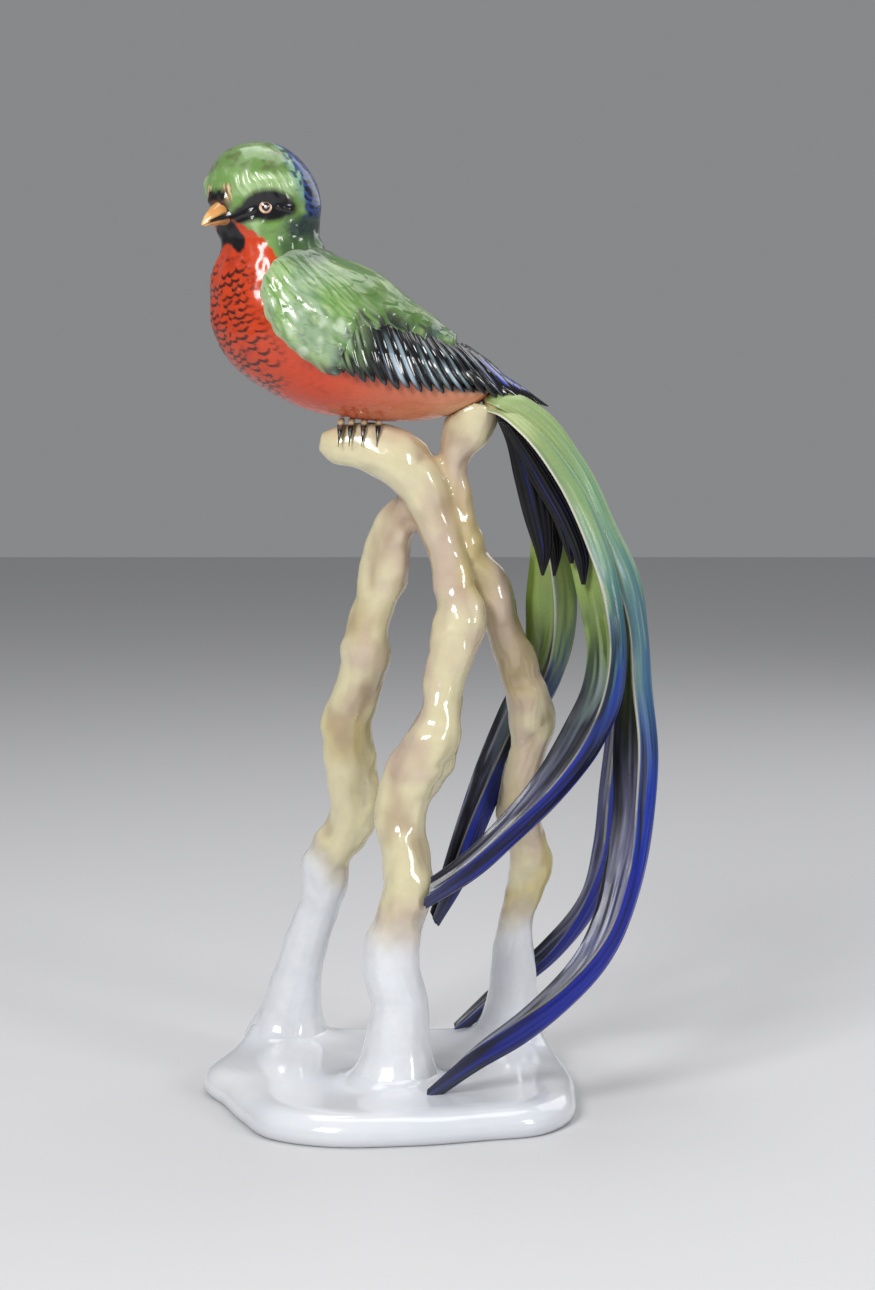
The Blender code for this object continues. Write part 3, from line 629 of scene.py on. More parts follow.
def body_paint(points, angle):
    """The bird's painted colours by place: red breast, green head, black mask and bib."""
    x, y, z = points.T
    bearing, height = head_bearing(points)
    soft, fine = noise(points, 5, 20), noise(points, 1.7, 21)
    front = np.abs(angle - math.pi)
    # breast and belly, with loose dark dashes down the front
    red = coats(RED,
        (DEEP_RED, 0.45 * step(soft + 0.4 * fine, 0.0, 1.0)),
        (PEACH, step(x + 0.55 * (285 - z), -32, 20) * falling(z, 286, 308)),
        (PALE_PEACH, step(x, 5, 38) * 0.75),
        (paint(222, 194, 148), 0.6 * step(x, 12, 34) * step(-z - 1.2 * soft, -282, -276)))
    along = 330 - z + 0.35 * (x + 70) + 1.1 * soft
    across = (front * 25.0 + 1.6 * noise(points, 4, 22)) * np.sign(y + 1e-6)
    _, gap, key = feather_scales(along, across, 2.9, 3.7)
    dash = near(gap - 0.8, 0.45, 0.95) * step(random_of(key), 0.26, 0.32)
    dash *= step(-front + 0.1 * soft, -1.3, -1.0) * falling(z, 333, 338) * falling(x, -46, -36)
    dash *= step(fine + 0.6 * random_of(key + 5), -0.35, 0.05)
    red = blend(red, paint(30, 12, 10), 0.92 * dash)
    # crown, cheek and the pale streaks over the eye
    dabs = step(noise(points * (1, 1, 0.8), 3.6, 23) + 0.3 * fine, -0.1, 0.8)
    green = blend(GREEN, PALE_GREEN, 0.7 * dabs)
    brow_zone = band(bearing, 16, 30, 84, 98) * near(height - 364, 3, 5.5)
    green = blend(green, PALE_GREEN, 0.55 * brow_zone)
    # pale brow strokes laid on the crests of the raised tufts: partly pale paint, partly painted
    # highlight
    streaks = step(np.sin(bearing * 0.62 + 0.8 * (height - 360) + 2 * soft), 0.35, 0.8)
    green = blend(green, paint(190, 206, 160), 0.5 * brow_zone * streaks)
    top = step(height + 2 * soft, 366, 372)
    green = blend(green, paint(86, 112, 62), 0.5 * top)
    mottle = step(noise(points, 3.8, 24) + 0.5 * fine, -0.05, 0.6)
    green = blend(green, paint(78, 82, 48), 0.62 * mottle * top)
    ear = step(bearing, 66, 84) * band(height, 349, 352, 358, 364)
    green = blend(green, OLIVE, 0.7 * ear * (0.6 + 0.4 * fine))
    # pale blue speckled zone, then blue nape with broken black bars
    pale_zone = step(bearing + 9 * soft + 5 * fine, 78, 96) * step(height, 355, 362)
    green = blend(green, paint(134, 172, 160), 0.85 * pale_zone)
    speck = step(noise(points, 1.7, 29) + 0.3 * fine, 0.05, 0.35) * step(bearing, 76, 92)
    green = blend(green, paint(34, 48, 66), 0.85 * speck * step(height, 357, 363))
    bars = step(np.sin(height * 2 * math.pi / 3.1 + 0.09 * bearing + 3.6 * noise(points, 3, 26)
                         + 0.8 * fine), -0.15, 0.3)
    nape = step(bearing + 6 * noise(points, 2.2, 27), 97, 104) * step(height, 349, 353)
    green = blend(green, blend(BLUE, paint(14, 20, 44), bars * step(soft + fine, -0.9, -0.2)), nape)
    neck = step(bearing + 6 * soft + 4 * fine, 68, 92) * step(-height - 2 * soft, -354, -349)
    green = blend(green, paint(26, 42, 48), 0.94 * neck)
    # brow tufts and black forehead patch over the beak
    tuft = near(bearing - 15, 3, 9) * near(height - 361 + 0.6 * soft, 2.2, 4.4)
    strands = step(np.sin(bearing * 1.0 + height * 1.1 + 2.5 * fine), -0.1, 0.8)
    green = blend(green, blend(paint(168, 112, 92), paint(220, 208, 160), strands), 0.8 * tuft)
    patch = step(-bearing + 2 * fine, -18, -11) * step(-height + 1.2 * fine, -364, -360.5)
    green = blend(green, BLACK, patch)
    lore = falling(bearing, 16, 24) * near(height - 356.6, 1.2, 2.6)
    green = blend(green, paint(96, 62, 52), 0.8 * lore * (0.7 + 0.3 * fine))
    face = np.column_stack([(bearing + 1.6 * fine) * BEARING_MM, height + 0.35 * soft])
    mask = inside_distance(face, rounded(MASK, BEARING_MM))
    green = coats(green,
        (paint(52, 70, 24), 0.7 * step(mask, -1.8, -0.3)),
        (BLACK, step(mask, -0.5, 0.5)))
    # red meets green below the cheek in small strokes, and the bib lies under the beak
    line = np.interp(bearing, [0, 18, 29, 43, 54, 66, 76], [351, 350.0, 348.4, 346.6, 343.6, 339, 330])
    below = step(line - height + 0.6 * soft + 1.1 * fine, -0.7, 0.6)
    colour = blend(green, red, below)
    bib = inside_distance(face, rounded(BIB, BEARING_MM))
    colour = blend(colour, BLACK, step(bib, -0.7, 0.6))
    # green back
    back = step(np.cos(angle), 0.05, 0.35) * falling(z, 341, 347)
    mantle = blend(paint(76, 100, 70), DARK_GREEN, 0.5 + 0.5 * soft)
    return blend(blend(colour, mantle, back), BLACK, back * step(x, 20, 27))


def make_body(material):
    """Head and torso as one smooth skin, parted at the neck."""
    rows, columns = 460, 290
    grid = body_grid(BODY, rows, columns)
    normal = ring_normals(grid)
    flat = grid.reshape(-1, 3)
    angle = np.tile(turns(columns), rows)
    bearing, height = head_bearing(flat)
    on_head = step(height, 343, 348)
    side = np.minimum(bearing, 180)
    lift = np.zeros(len(flat))
    for rise, place, wide, level, tall in FACE_MOUNDS:
        lift += rise * hill(side - place, wide) * hill(height - level, tall)
    for start, end, low, high in FACE_FOLDS:
        line = low + (high - low) * (side - start) / (end - start)
        fold = band(side, start - 3, start + 3, end - 3, end + 3)
        lift += 0.8 * fold * hill(height - line, 0.62)
    lift *= on_head
    tufts = np.sin(side * 0.62 + 0.8 * (height - 360) + 2 * noise(flat, 5, 20))
    over_eye = band(side, 16, 30, 80, 100) * near(height - 364, 2, 6)
    lift += on_head * 0.3 * tufts * over_eye
    cheek = np.sin(side * 0.4 - 1.1 * (height - 348) + 2 * noise(flat, 6, 19))
    lift += on_head * 0.14 * cheek * step(side, 30, 45) * near(height - 347, 2, 5)
    strands = np.sin(side * 1.25 + height * 0.5)
    by_beak = near(side - 15, 3, 9) * near(height - 360.6, 2, 5)
    lift += on_head * 0.26 * strands * by_beak
    lift += 0.22 * noise(flat, 7, 28) + 0.08 * noise(flat, 2.6, 18) * on_head
    lift += 0.3 * noise(flat * (1, 1, 0.7), 4.2, 17) * (1 - on_head) * step(flat[:, 2], 290, 305)
    throat = band(flat[:, 2], 306, 316, 344, 350)
    lift += (0.34 * noise(flat * (1, 1, 0.6), 2.7, 16) + 0.3 * noise(flat, 5, 15)) * throat
    front = np.abs(angle - math.pi)
    along = 330 - flat[:, 2] + 0.35 * (flat[:, 0] + 70) + 1.1 * noise(flat, 5, 20)
    scales, _, _ = feather_scales(along, front * 25, 2.9, 3.7)
    lift += 0.2 * (scales - 0.5) * falling(front, 0.9, 1.3) * falling(flat[:, 2], 330, 340)
    skin = (flat + normal.reshape(-1, 3) * lift[:, None]).reshape(rows, columns, 3)
    colour = body_paint(flat, angle).reshape(rows, columns, 3)
    station = smooth_path([tuple(s) + (i,) for i, s in enumerate(BODY)], rows)[:, 5]
    neck = int(np.searchsorted(station, NECK_RING - 1))
    halves = (("head_glazed", skin[:neck + 1], colour[:neck + 1], "feather_green", "head"),
              ("torso_glazed", skin[neck:], colour[neck:], "breast_red", "torso"))
    for name, part, tone, slot, node in halves:
        vertices, faces = closed_loft(part)
        made = piece(name, vertices, faces, with_hubs(tone), material, [node])
        made.data.set_sharp_from_angle(angle=math.radians(60))


def wing_core(relief):
    """The body's skin with the wing tips, swollen by a relief, as a grid."""
    grid = body_grid(BODY[NECK_RING:-3] + WING_TIP, 330, 300)
    normal = ring_normals(grid)
    return grid + normal * relief, normal


def thicken(made, depth, side):
    """Gives an open skin of the left or right side a back, inward."""
    facing = sum(face.normal.y * face.area for face in made.data.polygons)
    if (facing > 0) == (side == "left"):
        made.data.flip_normals()
    modifier = made.modifiers.new("wall", "SOLIDIFY")
    modifier.thickness = depth * MM
    modifier.offset = -1.0


def make_coverts(material):
    """Green wing coverts: soft overlapping feathers with a rounded edge."""
    grid, normal = wing_core(0.0)
    rows, columns = grid.shape[:2]
    flat, push = grid.reshape(-1, 3), normal.reshape(-1, 3)
    within = inside_distance(flat[:, [0, 2]] + 0.4 * noise(flat, 4, 30)[:, None], COVERT_OUTLINE)
    shoulder = step(np.hypot(flat[:, 0] + 33, flat[:, 2] - 343), 4, 34)
    relief = COVERT_RELIEF * (0.1 + 0.9 * shoulder) * (1 - 0.4 * step(flat[:, 0], 28, 46))
    height = -1.2 + (relief + 1.2) * step(within, -1.4, 4.6) ** 0.7
    # feathers fan out from the shoulder
    fan = flat[:, [0, 2]] - np.array([-60.0, 352.0])
    warp = noise(flat, 11, 31)
    along = np.hypot(fan[:, 0], fan[:, 1]) + 1.2 * warp
    across = -np.arctan2(fan[:, 1], fan[:, 0]) * 46 + 1.1 * noise(flat, 9, 32)
    tiles, gap, _ = feather_scales(along, across, 9.5, 4.3)
    turn = np.tile(turns(columns), rows)
    spine_run = np.concatenate([[0], np.cumsum(np.linalg.norm(np.diff(grid[:, 0], axis=0), axis=1))])
    run = np.repeat(spine_run, columns) - 4.0 * (1 - np.cos(turn)) + 0.8 * warp
    aside = np.sin(turn) * np.abs(flat[:, 1]).reshape(rows, columns).max(axis=1).repeat(columns)
    on_back = step(np.cos(turn), 0.35, 0.75)
    back_tiles, back_gap, _ = feather_scales(run, aside + 0.5 * noise(flat, 6, 38), 7.0, 5.0)
    tiles = tiles * (1 - on_back) + back_tiles * on_back
    gap = gap * (1 - on_back) + back_gap * on_back
    along = along * (1 - on_back) + run * on_back
    across = across * (1 - on_back) + aside * on_back
    low = step(-flat[:, 2] - 0.35 * flat[:, 0], -322, -300)
    height = height + (0.22 + 0.35 * low) * (tiles - 0.5) * step(within, 0.5, 4)
    height = height + 0.3 * noise(flat, 8, 33)
    strand = noise_over(0.9, 34, along / 6, across)
    broad = noise_over(2.6, 35, along / 3.5, across)
    quiet = 0.35 + 0.65 * step(-flat[:, 2] - 0.45 * flat[:, 0], -322, -306)
    height = height + quiet * (0.13 * strand + 0.42 * broad) * step(within, 0.5, 4)
    curl = noise_over(1.9, 39, along / 2.2, across) * low * (1 - on_back)
    height = height + 0.3 * curl * step(within, 1.0, 5)
    skin = flat + push * height[:, None]
    pale = step(broad + 0.5 * strand + 0.6 * low - 0.15, -0.5, 0.7)
    # the near-white on the raised curls of the lower front is a painted highlight
    colour = coats(GREEN,
        (PALE_GREEN, 0.9 * pale),
        (paint(128, 150, 130), 0.6 * step(noise(flat, 12, 37) + 0.5 * broad, 0.0, 0.7)),
        (paint(176, 190, 128), 0.45 * step(strand, 0.3, 0.8)),
        (paint(206, 222, 196), 0.6 * step(curl, 0.25, 0.8) * low))
    # dark green along each feather's tip edge is a painted shadow
    tip_shadow = 0.35 * falling(gap, 0.1, 0.9) * step(strand, -0.6, 0.3)
    colour = blend(colour, DARK_GREEN, tip_shadow + 0.4 * falling(strand, -0.8, -0.2))
    spine = step(np.cos(turn) + 0.12 * strand, 0.35, 0.8)
    colour = blend(colour, blend(DARK_GREEN, paint(120, 140, 60), step(broad, 0.1, 0.7)), 0.6 * spine)
    rim = falling(within, 0.2, 2.6) * falling(flat[:, 0], -28, -10)
    colour = blend(colour, paint(186, 206, 172), 0.5 * rim)
    mantle = falling(np.hypot(flat[:, 0] + 33, flat[:, 2] - 345), 8, 17)
    colour = blend(colour, paint(70, 84, 76), 0.7 * mantle)
    edge = falling(within, 0.5, 7.5) * step(flat[:, 0], -34, -24)
    dusk = step(strand + 0.8 * broad, -0.2, 0.4) * edge
    dusk *= step(-flat[:, 2] - 0.3 * flat[:, 0], -320, -310)
    colour = coats(colour,
        (paint(26, 32, 30), 0.95 * dusk),
        (TEAL_GREY, 0.5 * step(noise(flat, 9, 36), 0.1, 0.6) * edge))
    faces = grid_faces(rows, columns, True)
    keep_near = (within > -1.1) & (flat[:, 1] < 0.01)
    keep_far = (within > -1.1) & (flat[:, 1] > -0.01)
    for side, keep in (("left", keep_near), ("right", keep_far)):
        chosen = faces[keep[faces].all(axis=1)]
        used, index = np.unique(chosen, return_inverse=True)
        made = piece("wing_coverts_%s_glazed" % side, skin[used], index.reshape(-1, 4), colour[used],
                     material, ["wing_coverts_" + side], closed=False)
        thicken(made, COVERT_WALL, side)


def make_flight(material):
    """Black flight feathers: ridged, with rounded tips, folded over the rump."""
    grid, _ = wing_core(FLIGHT_RELIEF)
    rows, columns = grid.shape[:2]
    tree = BVHTree.FromPolygons(grid.reshape(-1, 3).tolist(),
                                [tuple(int(i) for i in f) for f in grid_faces(rows, columns, True)])
    lines = np.array(FLIGHT_LINES, dtype=float)
    per_line, down = 36, 90
    k = np.linspace(0, len(lines) - 1, (len(lines) - 1) * per_line + 1)
    feather = 2 * np.minimum(k, 8) + np.maximum(k - 8, 0)
    roots = np.column_stack([np.interp(k, range(len(lines)), lines[:, c]) for c in (0, 1)])
    spine = grid[:, 0]
    order = np.argsort(spine[:, 0])
    ridge_z = np.interp(roots[:, 0], spine[order, 0], spine[order, 2])
    on_spine = roots[:, 1] > ridge_z - 0.9
    roots[:, 1] = np.minimum(roots[:, 1], ridge_z - 0.25)
    tips = np.column_stack([np.interp(k, range(len(lines)), lines[:, c]) for c in (2, 3)])
    part = feather - np.round(feather)
    number = np.round(feather)
    shorter = 0.15 * np.abs(2 * part) ** 2.2 + 0.07 * random_of(number + 9)
    end = 1.0 - shorter * falling(k, 8.6, 10.2)
    r = np.linspace(0, 1, down)
    share = r[:, None] * end[None, :]
    bow = np.sin(np.clip(share, 0, 1) * math.pi) * 1.2 * falling(k, 6, 9)[None, :]
    side_x = roots[None, :, 0] * (1 - share) + tips[None, :, 0] * share - bow
    side_z = roots[None, :, 1] * (1 - share) + tips[None, :, 1] * share - bow * 0.3
    surface = np.empty(share.shape + (3,))
    push = np.empty_like(surface)
    for i in range(down):
        for j in range(len(k)):
            start = Vector((side_x[i, j], -80, side_z[i, j]))
            place, out, _, _ = tree.ray_cast(start, Vector((0, 1, 0)))
            if place is None:
                place, out, _, _ = tree.find_nearest(Vector((side_x[i, j], -1.5, side_z[i, j])))
            if out.y > 0:
                out = -out
            surface[i, j], push[i, j] = place, out
    middle = np.full(len(k), -NEAR_MIDDLE)
    surface[0, on_spine] = np.column_stack([roots[:, 0], middle, ridge_z])[on_spine]
    push[0, on_spine] = (0.5, 0, 0.86)
    surface[..., 1] = np.minimum(surface[..., 1], -NEAR_MIDDLE)
    for _ in range(24):
        for field in (surface[..., 1], push):
            field[1:-1, 1:-1] = (field[:-2, 1:-1] + field[2:, 1:-1]
                                 + field[1:-1, :-2] + field[1:-1, 2:]) / 4
            field[0, 1:-1] = (field[0, :-2] + field[0, 2:]) / 2
            field[-1, 1:-1] = (field[-1, :-2] + field[-1, 2:]) / 2
    push /= np.maximum(np.linalg.norm(push, axis=2, keepdims=True), 1e-6)
    saw = (feather + 0.5) - np.floor(feather + 0.5)
    ridge = 0.75 * (1 - saw) ** 1.3 + 0.22 * hill(saw - 0.4, 0.16)
    ridge = ridge * (0.55 + 0.6 * random_of(number + 17))
    edge = step(share, 0.0, 0.1) * (1 - 0.5 * step(share / end[None, :], 0.88, 1.0))
    wavy = noise_over(1.0, 42, k[None, :] * 1.7, share * 4)
    calm = 1 - 0.85 * step(k, 7.5, 10.0)[None, :]
    tucked = 2.4 * (1 - step(share, 0.02, 0.5)) * falling(k, 6.5, 9.5)[None, :]
    height = (ridge[None, :] * edge + 0.18 * wavy) * calm + 0.3 - tucked
    skin = surface + push * height[..., None]
    kk, ss, pp, each = [np.broadcast_to(v, share.shape).reshape(-1)
                        for v in (k[None, :], share, saw[None, :], random_of(number + 3)[None, :])]
    strand = noise_over(1.0, 40, kk * 6, ss * 2.4)
    wide = noise_over(1.0, 41, kk * 1.7, ss * 2)
    # teal-grey paint that lightens to a painted sheen highlight on a band of each feather
    sheen = blend(paint(96, 118, 122), paint(176, 194, 206), step(strand, -0.1, 0.8))
    amount = near(pp - 0.34 - 0.08 * wide, 0.12, 0.3)
    amount *= band(ss, 0.1, 0.35, 0.78, 0.93)
    amount *= falling(kk, 6.6, 8.4) * step(wide + 0.5 * strand + 1.6 * each - 0.9, -0.35, 0.3)
    colour = blend(BLACK, sheen, 0.9 * amount)
    green = step(-kk - 1.2 * ss, -3.4, -1.4) * falling(ss, 0.55, 0.9)
    leafy = blend(GREEN, PALE_GREEN, 0.5 + 0.5 * strand)
    colour = blend(colour, leafy, 0.75 * green * step(strand, -0.7, 0.1))
    blue = step(kk, 7.9, 8.4) * near(pp - 0.45, 0.16, 0.3)
    blue *= band(ss, 0.2, 0.3, 0.66, 0.76)
    colour = blend(colour, paint(44, 66, 170), blue * falling(kk, 11.3, 11.6))
    glint = near(pp - 0.4, 0.05, 0.16) * step(strand, 0.1, 0.6) * step(ss, 0.15, 0.4)
    colour = blend(colour, paint(120, 140, 166), 0.35 * glint * falling(kk, 8, 8.6))
    # a wall behind the feathers that never crosses the middle of the back
    inner = skin - push * FLIGHT_WALL
    skin[..., 1] = np.minimum(skin[..., 1], -NEAR_MIDDLE)
    inner[..., 1] = np.minimum(inner[..., 1], -0.4 * NEAR_MIDDLE)
    rings = np.concatenate([skin, inner[:, ::-1]], axis=1)
    tone = colour.reshape(skin.shape)
    tone = np.concatenate([tone, tone[:, ::-1]], axis=1).reshape(-1, 3)
    count = len(k)
    faces = [tuple(face) for face in grid_faces(down, 2 * count, True)]
    # the two open ends of the wall, at the roots and at the tips
    for start in (0, (down - 1) * 2 * count):
        last = start + 2 * count - 1
        faces += [(start + c, start + c + 1, last - 1 - c, last - c) for c in range(count - 1)]
    for side, flip in (("left", 1), ("right", -1)):
        piece("wing_flight_%s_glazed" % side, rings.reshape(-1, 3) * (1, flip, 1), faces, tone,
              material, ["wing_flight_" + side])


def make_face(material):
    """Mandibles and eyes, placed along the direction the head looks in."""
    def mandible(name, stations, sign):
        path = smooth_path(stations, 46)
        turn = turns(60)
        rings = []
        for reach, height, half, tall in path:
            middle = HEAD_CENTRE + LOOK * reach + UP * height
            bulge = np.abs(np.sin(turn))
            arch = np.where(np.sin(turn) > 0, bulge ** 0.9 * tall, -0.22 * bulge * tall)
            rings.append(middle + np.outer(half * np.cos(turn), LEFT) + np.outer(sign * arch, UP))
        rings = np.array(rings)
        vertices, faces = closed_loft(rings)
        rel = vertices - HEAD_CENTRE
        ahead = rel @ LOOK
        tone = coats(TAN,
            (paint(222, 176, 112), step(noise(vertices, 3, 50), -0.2, 0.7)),
            (paint(232, 196, 140), step(ahead, 25.5, 28.4)),
            (paint(160, 104, 52), 0.5 * falling(ahead, 20.5, 24)))
        mouth = np.interp(ahead, [14, 19, 23, 26.5, 28.6], [-3.0, -3.5, -4.6, -6.1, -7.4])
        breadth = np.interp(ahead, [18, 22, 26], [4.0, 3.0, 1.5])
        lip = falling(np.abs(rel[:, 2] - mouth) / breadth, 0.3, 0.62)
        tone = blend(tone, BLACK, lip * falling(ahead, 26, 27.4))
        if sign > 0:
            tone = blend(tone, BLACK, step(-ahead + 0.5 * noise(vertices, 2, 51), -20.9, -20.2))
        piece(name + "_glazed", vertices, faces, tone, material, [name])

    mandible("beak_upper", BEAK_UPPER, 1)
    mandible("beak_lower", BEAK_LOWER, -1)
    for name, side in (("eye_left", 1), ("eye_right", -1)):
        look = LOOK * math.cos(EYE_BEARING) + LEFT * math.sin(EYE_BEARING) * side
        across = np.cross(look, UP)
        eye = HEAD_CENTRE + look * 17.6 + UP * -0.6
        lat = np.linspace(math.radians(-60), math.radians(89), 60)
        turn = turns(60)
        reach = EYE_RADIUS * np.sin(lat)
        breadth = EYE_RADIUS * np.cos(lat)
        rim = 0.4 * hill(breadth - 2.4, 0.4) * (lat > 0)
        circle = np.outer(np.cos(turn), across) + np.outer(np.sin(turn), UP)
        rings = eye + look * (reach + rim)[:, None, None] + breadth[:, None, None] * circle
        vertices, faces = closed_loft(rings)
        off = np.linalg.norm(np.cross(vertices - eye, look), axis=1)
        glint = eye + look * EYE_RADIUS + across * 0.25 + UP * 0.25
        dot = np.linalg.norm(vertices - glint, axis=1)
        # the pinkish-white centre and the white dot are painted highlights on the dark eye
        tone = coats(PINK_TAN,
            (paint(222, 196, 168), step(noise(vertices, 1.2, 52), 0, 0.6)),
            (BLACK, near(off - 1.1, 0.42, 0.6)),
            (paint(206, 170, 160), falling(off, 0.5, 0.75)),
            (paint(250, 250, 248), falling(dot, 0.3, 0.5)),
            (BLACK, step(off, 2.95, 3.15)))
        piece(name + "_glazed", vertices, faces, tone, material, [name])


def make_claws(material):
    """Dark claws that grip both sides of the perch."""
    for side, sign in (("left", -1), ("right", 1)):
        for number, x in enumerate(CLAW_X, start=1):
            path = smooth_path([(x + 0.5, sign * 3.0, 273.0), (x + 0.4, sign * 7.2, 271.0),
                                (x + 0.1, sign * 10.2, 267.0), (x - 0.3, sign * 11.3, 263.0)], 40)
            t = np.linspace(0, 1, 40)
            half = 1.15 * (1 - step(t, 0.3, 1.0)) + 0.14
            turn = turns(26)
            wide = np.outer(half, np.cos(turn))[..., None] * np.array([1.0, 0, 0])
            deep = np.outer(half + 0.25, np.sin(turn))[..., None] * np.array([0, 0.8 * sign, 0.55])
            rings = path[:, None] + wide + deep
            vertices, faces = closed_loft(rings)
            worn = step(noise(vertices, 1.6, 60 + number), 0.1, 0.6)
            tone = coats(BLACK,
                (paint(120, 96, 84), 0.7 * worn),
                (paint(206, 192, 156), step(vertices[:, 2], 270.8, 272.4)))
            piece("claw_%s_%d_glazed" % (side, number), vertices, faces, tone, material,
                  ["claw_%s_%d" % (side, number)])


# ---------------------------------------------------------------- the tail

# Colours down a streamer: (share of its length, colour)
OUTER_LONG = [(0.0, paint(150, 168, 112)), (0.1, paint(124, 148, 100)), (0.2, paint(108, 148, 112)),
              (0.28, paint(84, 124, 120)), (0.35, paint(72, 104, 128)), (0.44, paint(54, 92, 136)),
              (0.54, paint(20, 54, 140)), (0.66, paint(6, 24, 138)), (0.8, paint(8, 14, 108)),
              (0.92, paint(26, 30, 64)), (1.0, paint(46, 50, 66))]
INNER_LONG = [(0.0, paint(120, 140, 70)), (0.3, paint(80, 88, 80)), (0.42, paint(66, 64, 70)),
              (0.55, paint(74, 76, 108)), (0.7, paint(78, 82, 122)), (0.82, paint(60, 62, 94)),
              (0.93, paint(60, 64, 78)), (1.0, paint(54, 60, 70))]
OUTER_SHORT = [(0.0, paint(170, 180, 128)), (0.1, paint(134, 154, 102)), (0.24, paint(116, 150, 104)),
               (0.36, paint(88, 130, 116)), (0.46, paint(36, 76, 100)), (0.56, paint(14, 40, 112)),
               (0.7, paint(8, 16, 104)), (0.86, paint(12, 15, 74)), (1.0, paint(40, 40, 70))]
INNER_SHORT = [(0.0, paint(150, 160, 84)), (0.3, paint(132, 152, 80)), (0.44, paint(126, 150, 84)),
               (0.54, paint(98, 118, 104)), (0.64, paint(80, 88, 104)), (0.76, paint(60, 60, 88)),
               (0.9, paint(60, 60, 76)), (1.0, paint(52, 52, 60))]
FAR_SHORT = [(0.0, paint(140, 156, 84)), (0.3, paint(128, 148, 76)), (0.46, paint(104, 130, 92)),
             (0.58, paint(44, 70, 120)), (0.75, paint(34, 40, 110)), (1.0, paint(40, 42, 70))]


def ramp(stops, where):
    """Colours along a list of (place, colour) stops."""
    places = [place for place, _ in stops]
    return np.stack([np.interp(where, places, [c[i] for _, c in stops]) for i in range(3)], axis=-1)


def make_streamer(name, stations, outer, inner, material, seed, lip_from=0.0):
    """A gutter-shaped plume with fine barbs, a pale edge and colour that runs down its length."""
    rows, across_count = 380, 120
    across = np.linspace(0, 1, across_count)
    weights = np.stack([(1 - across) * (1 - 2 * across), 4 * across * (1 - across),
                        across * (2 * across - 1)], axis=1)
    edges = smooth_path(stations, rows)
    sheet = np.einsum("ck,skx->scx", weights, edges)
    normal = grid_normals(sheet, False)
    ridge_side = edges[:, 1] - (edges[:, 0] + edges[:, 2]) / 2
    if (normal[:, across_count // 2] * ridge_side).sum() < 0:
        normal = -normal
    t = np.linspace(0, 1, rows)

    def streaks(fineness, speed, key):
        slant = across[None, :] * fineness + t[:, None] * 1.5
        return noise(np.stack(np.broadcast_arrays(slant, t[:, None] * speed), axis=-1), 1.0, key)

    broad, streak, fine = streaks(5, 3, seed), streaks(12, 7, seed + 1), streaks(26, 16, seed + 2)
    fray = step(t, 0.9, 1.0)[:, None]
    grooves = 0.14 * fine + 0.26 * streak + 0.18 * broad
    grooves = grooves * (0.3 + 0.7 * step(t, 0.22, 0.4))[:, None]
    rib = hill(across - 0.5, 0.03)[None, :] * (1 - t[:, None] * 0.5)
    wall = STREAMER_WALL * (1 - 0.78 * np.abs(2 * across - 1) ** 4)[None, :]
    wall = wall * (1 - 0.35 * t[:, None] ** 3)
    top = sheet + normal * (wall / 2 + grooves + 0.25 * rib)[..., None]
    under = sheet - normal * (wall / 2 + grooves - rib * 0.2)[..., None]
    rings = np.concatenate([top, under[:, ::-1]], axis=1)
    vertices, faces = closed_loft(rings)
    where = t[:, None] + 0.05 * broad + 0.02 * streak
    high, low = falling(t, 0.36, 0.5)[:, None], step(t, 0.36, 0.5)[:, None]
    out_tone = coats(ramp(outer, where),
        (TEAL, 0.55 * step(streak + 0.4 * broad, 0.1, 0.7) * high * step(t, 0.06, 0.2)[:, None]),
        (paint(170, 184, 130), 0.3 * step(fine, 0.1, 0.8) * high),
        (ramp(outer, where - 0.14), 0.4 * step(fine + 0.3 * streak, 0.0, 0.8)))
    hair = streaks(34, 9, seed + 3)
    out_tone = coats(out_tone,
        (BLACK, 0.8 * step(-streak - 0.5 * fine, 0.15, 0.6) * low),
        (paint(16, 40, 158), 0.6 * step(hair + 0.4 * streak, 0.15, 0.55) * low),
        (BLACK, 0.75 * step(-hair - 0.3 * streak, 0.2, 0.6) * low))
    in_tone = coats(ramp(inner, where),
        (LAVENDER, 0.4 * step(fine, 0.1, 0.7) * low),
        (paint(14, 16, 28), 0.75 * falling(hair, -0.5, -0.1) * low),
        (paint(22, 24, 34), 0.88 * step(streak + 0.5 * fine, -0.1, 0.35) * low),
        (paint(150, 152, 166), 0.55 * step(hair + 0.3 * fine, 0.25, 0.7) * low),
        (paint(160, 178, 110), 0.3 * step(hair, 0.2, 0.7) * high),
        (OLIVE, 0.85 * step(-streak - 0.5 * fine, -0.05, 0.5) * high))
    pale = LINE_WHITE * (0.85 - 0.78 * t[:, None, None])
    lip = falling(across, 0.008, 0.024)[None, :] * falling(t, 0.85, 0.97)[:, None]
    lip = lip * (1 - 0.5 * low * step(noise(t[:, None] * (1, 0), 0.03, seed), -0.2, 0.4)[:, None])
    lip = lip * step(t, lip_from - 0.02, lip_from + 0.02)[:, None] if lip_from else lip
    dark = falling(across, 0.05, 0.075)[None, :] * (1 - falling(across, 0.03, 0.045)[None, :])
    out_tone = blend(blend(out_tone, paint(120, 96, 70), 0.25 * dark * high), pale, lip)
    in_tone = blend(blend(in_tone, paint(96, 74, 52), 0.7 * dark), pale, lip)
    out_tone = blend(out_tone, SLATE, 0.6 * fray)
    tone = np.concatenate([out_tone, in_tone[:, ::-1]], axis=1)
    piece(name + "_glazed", vertices, faces, with_hubs(tone), material, [name])


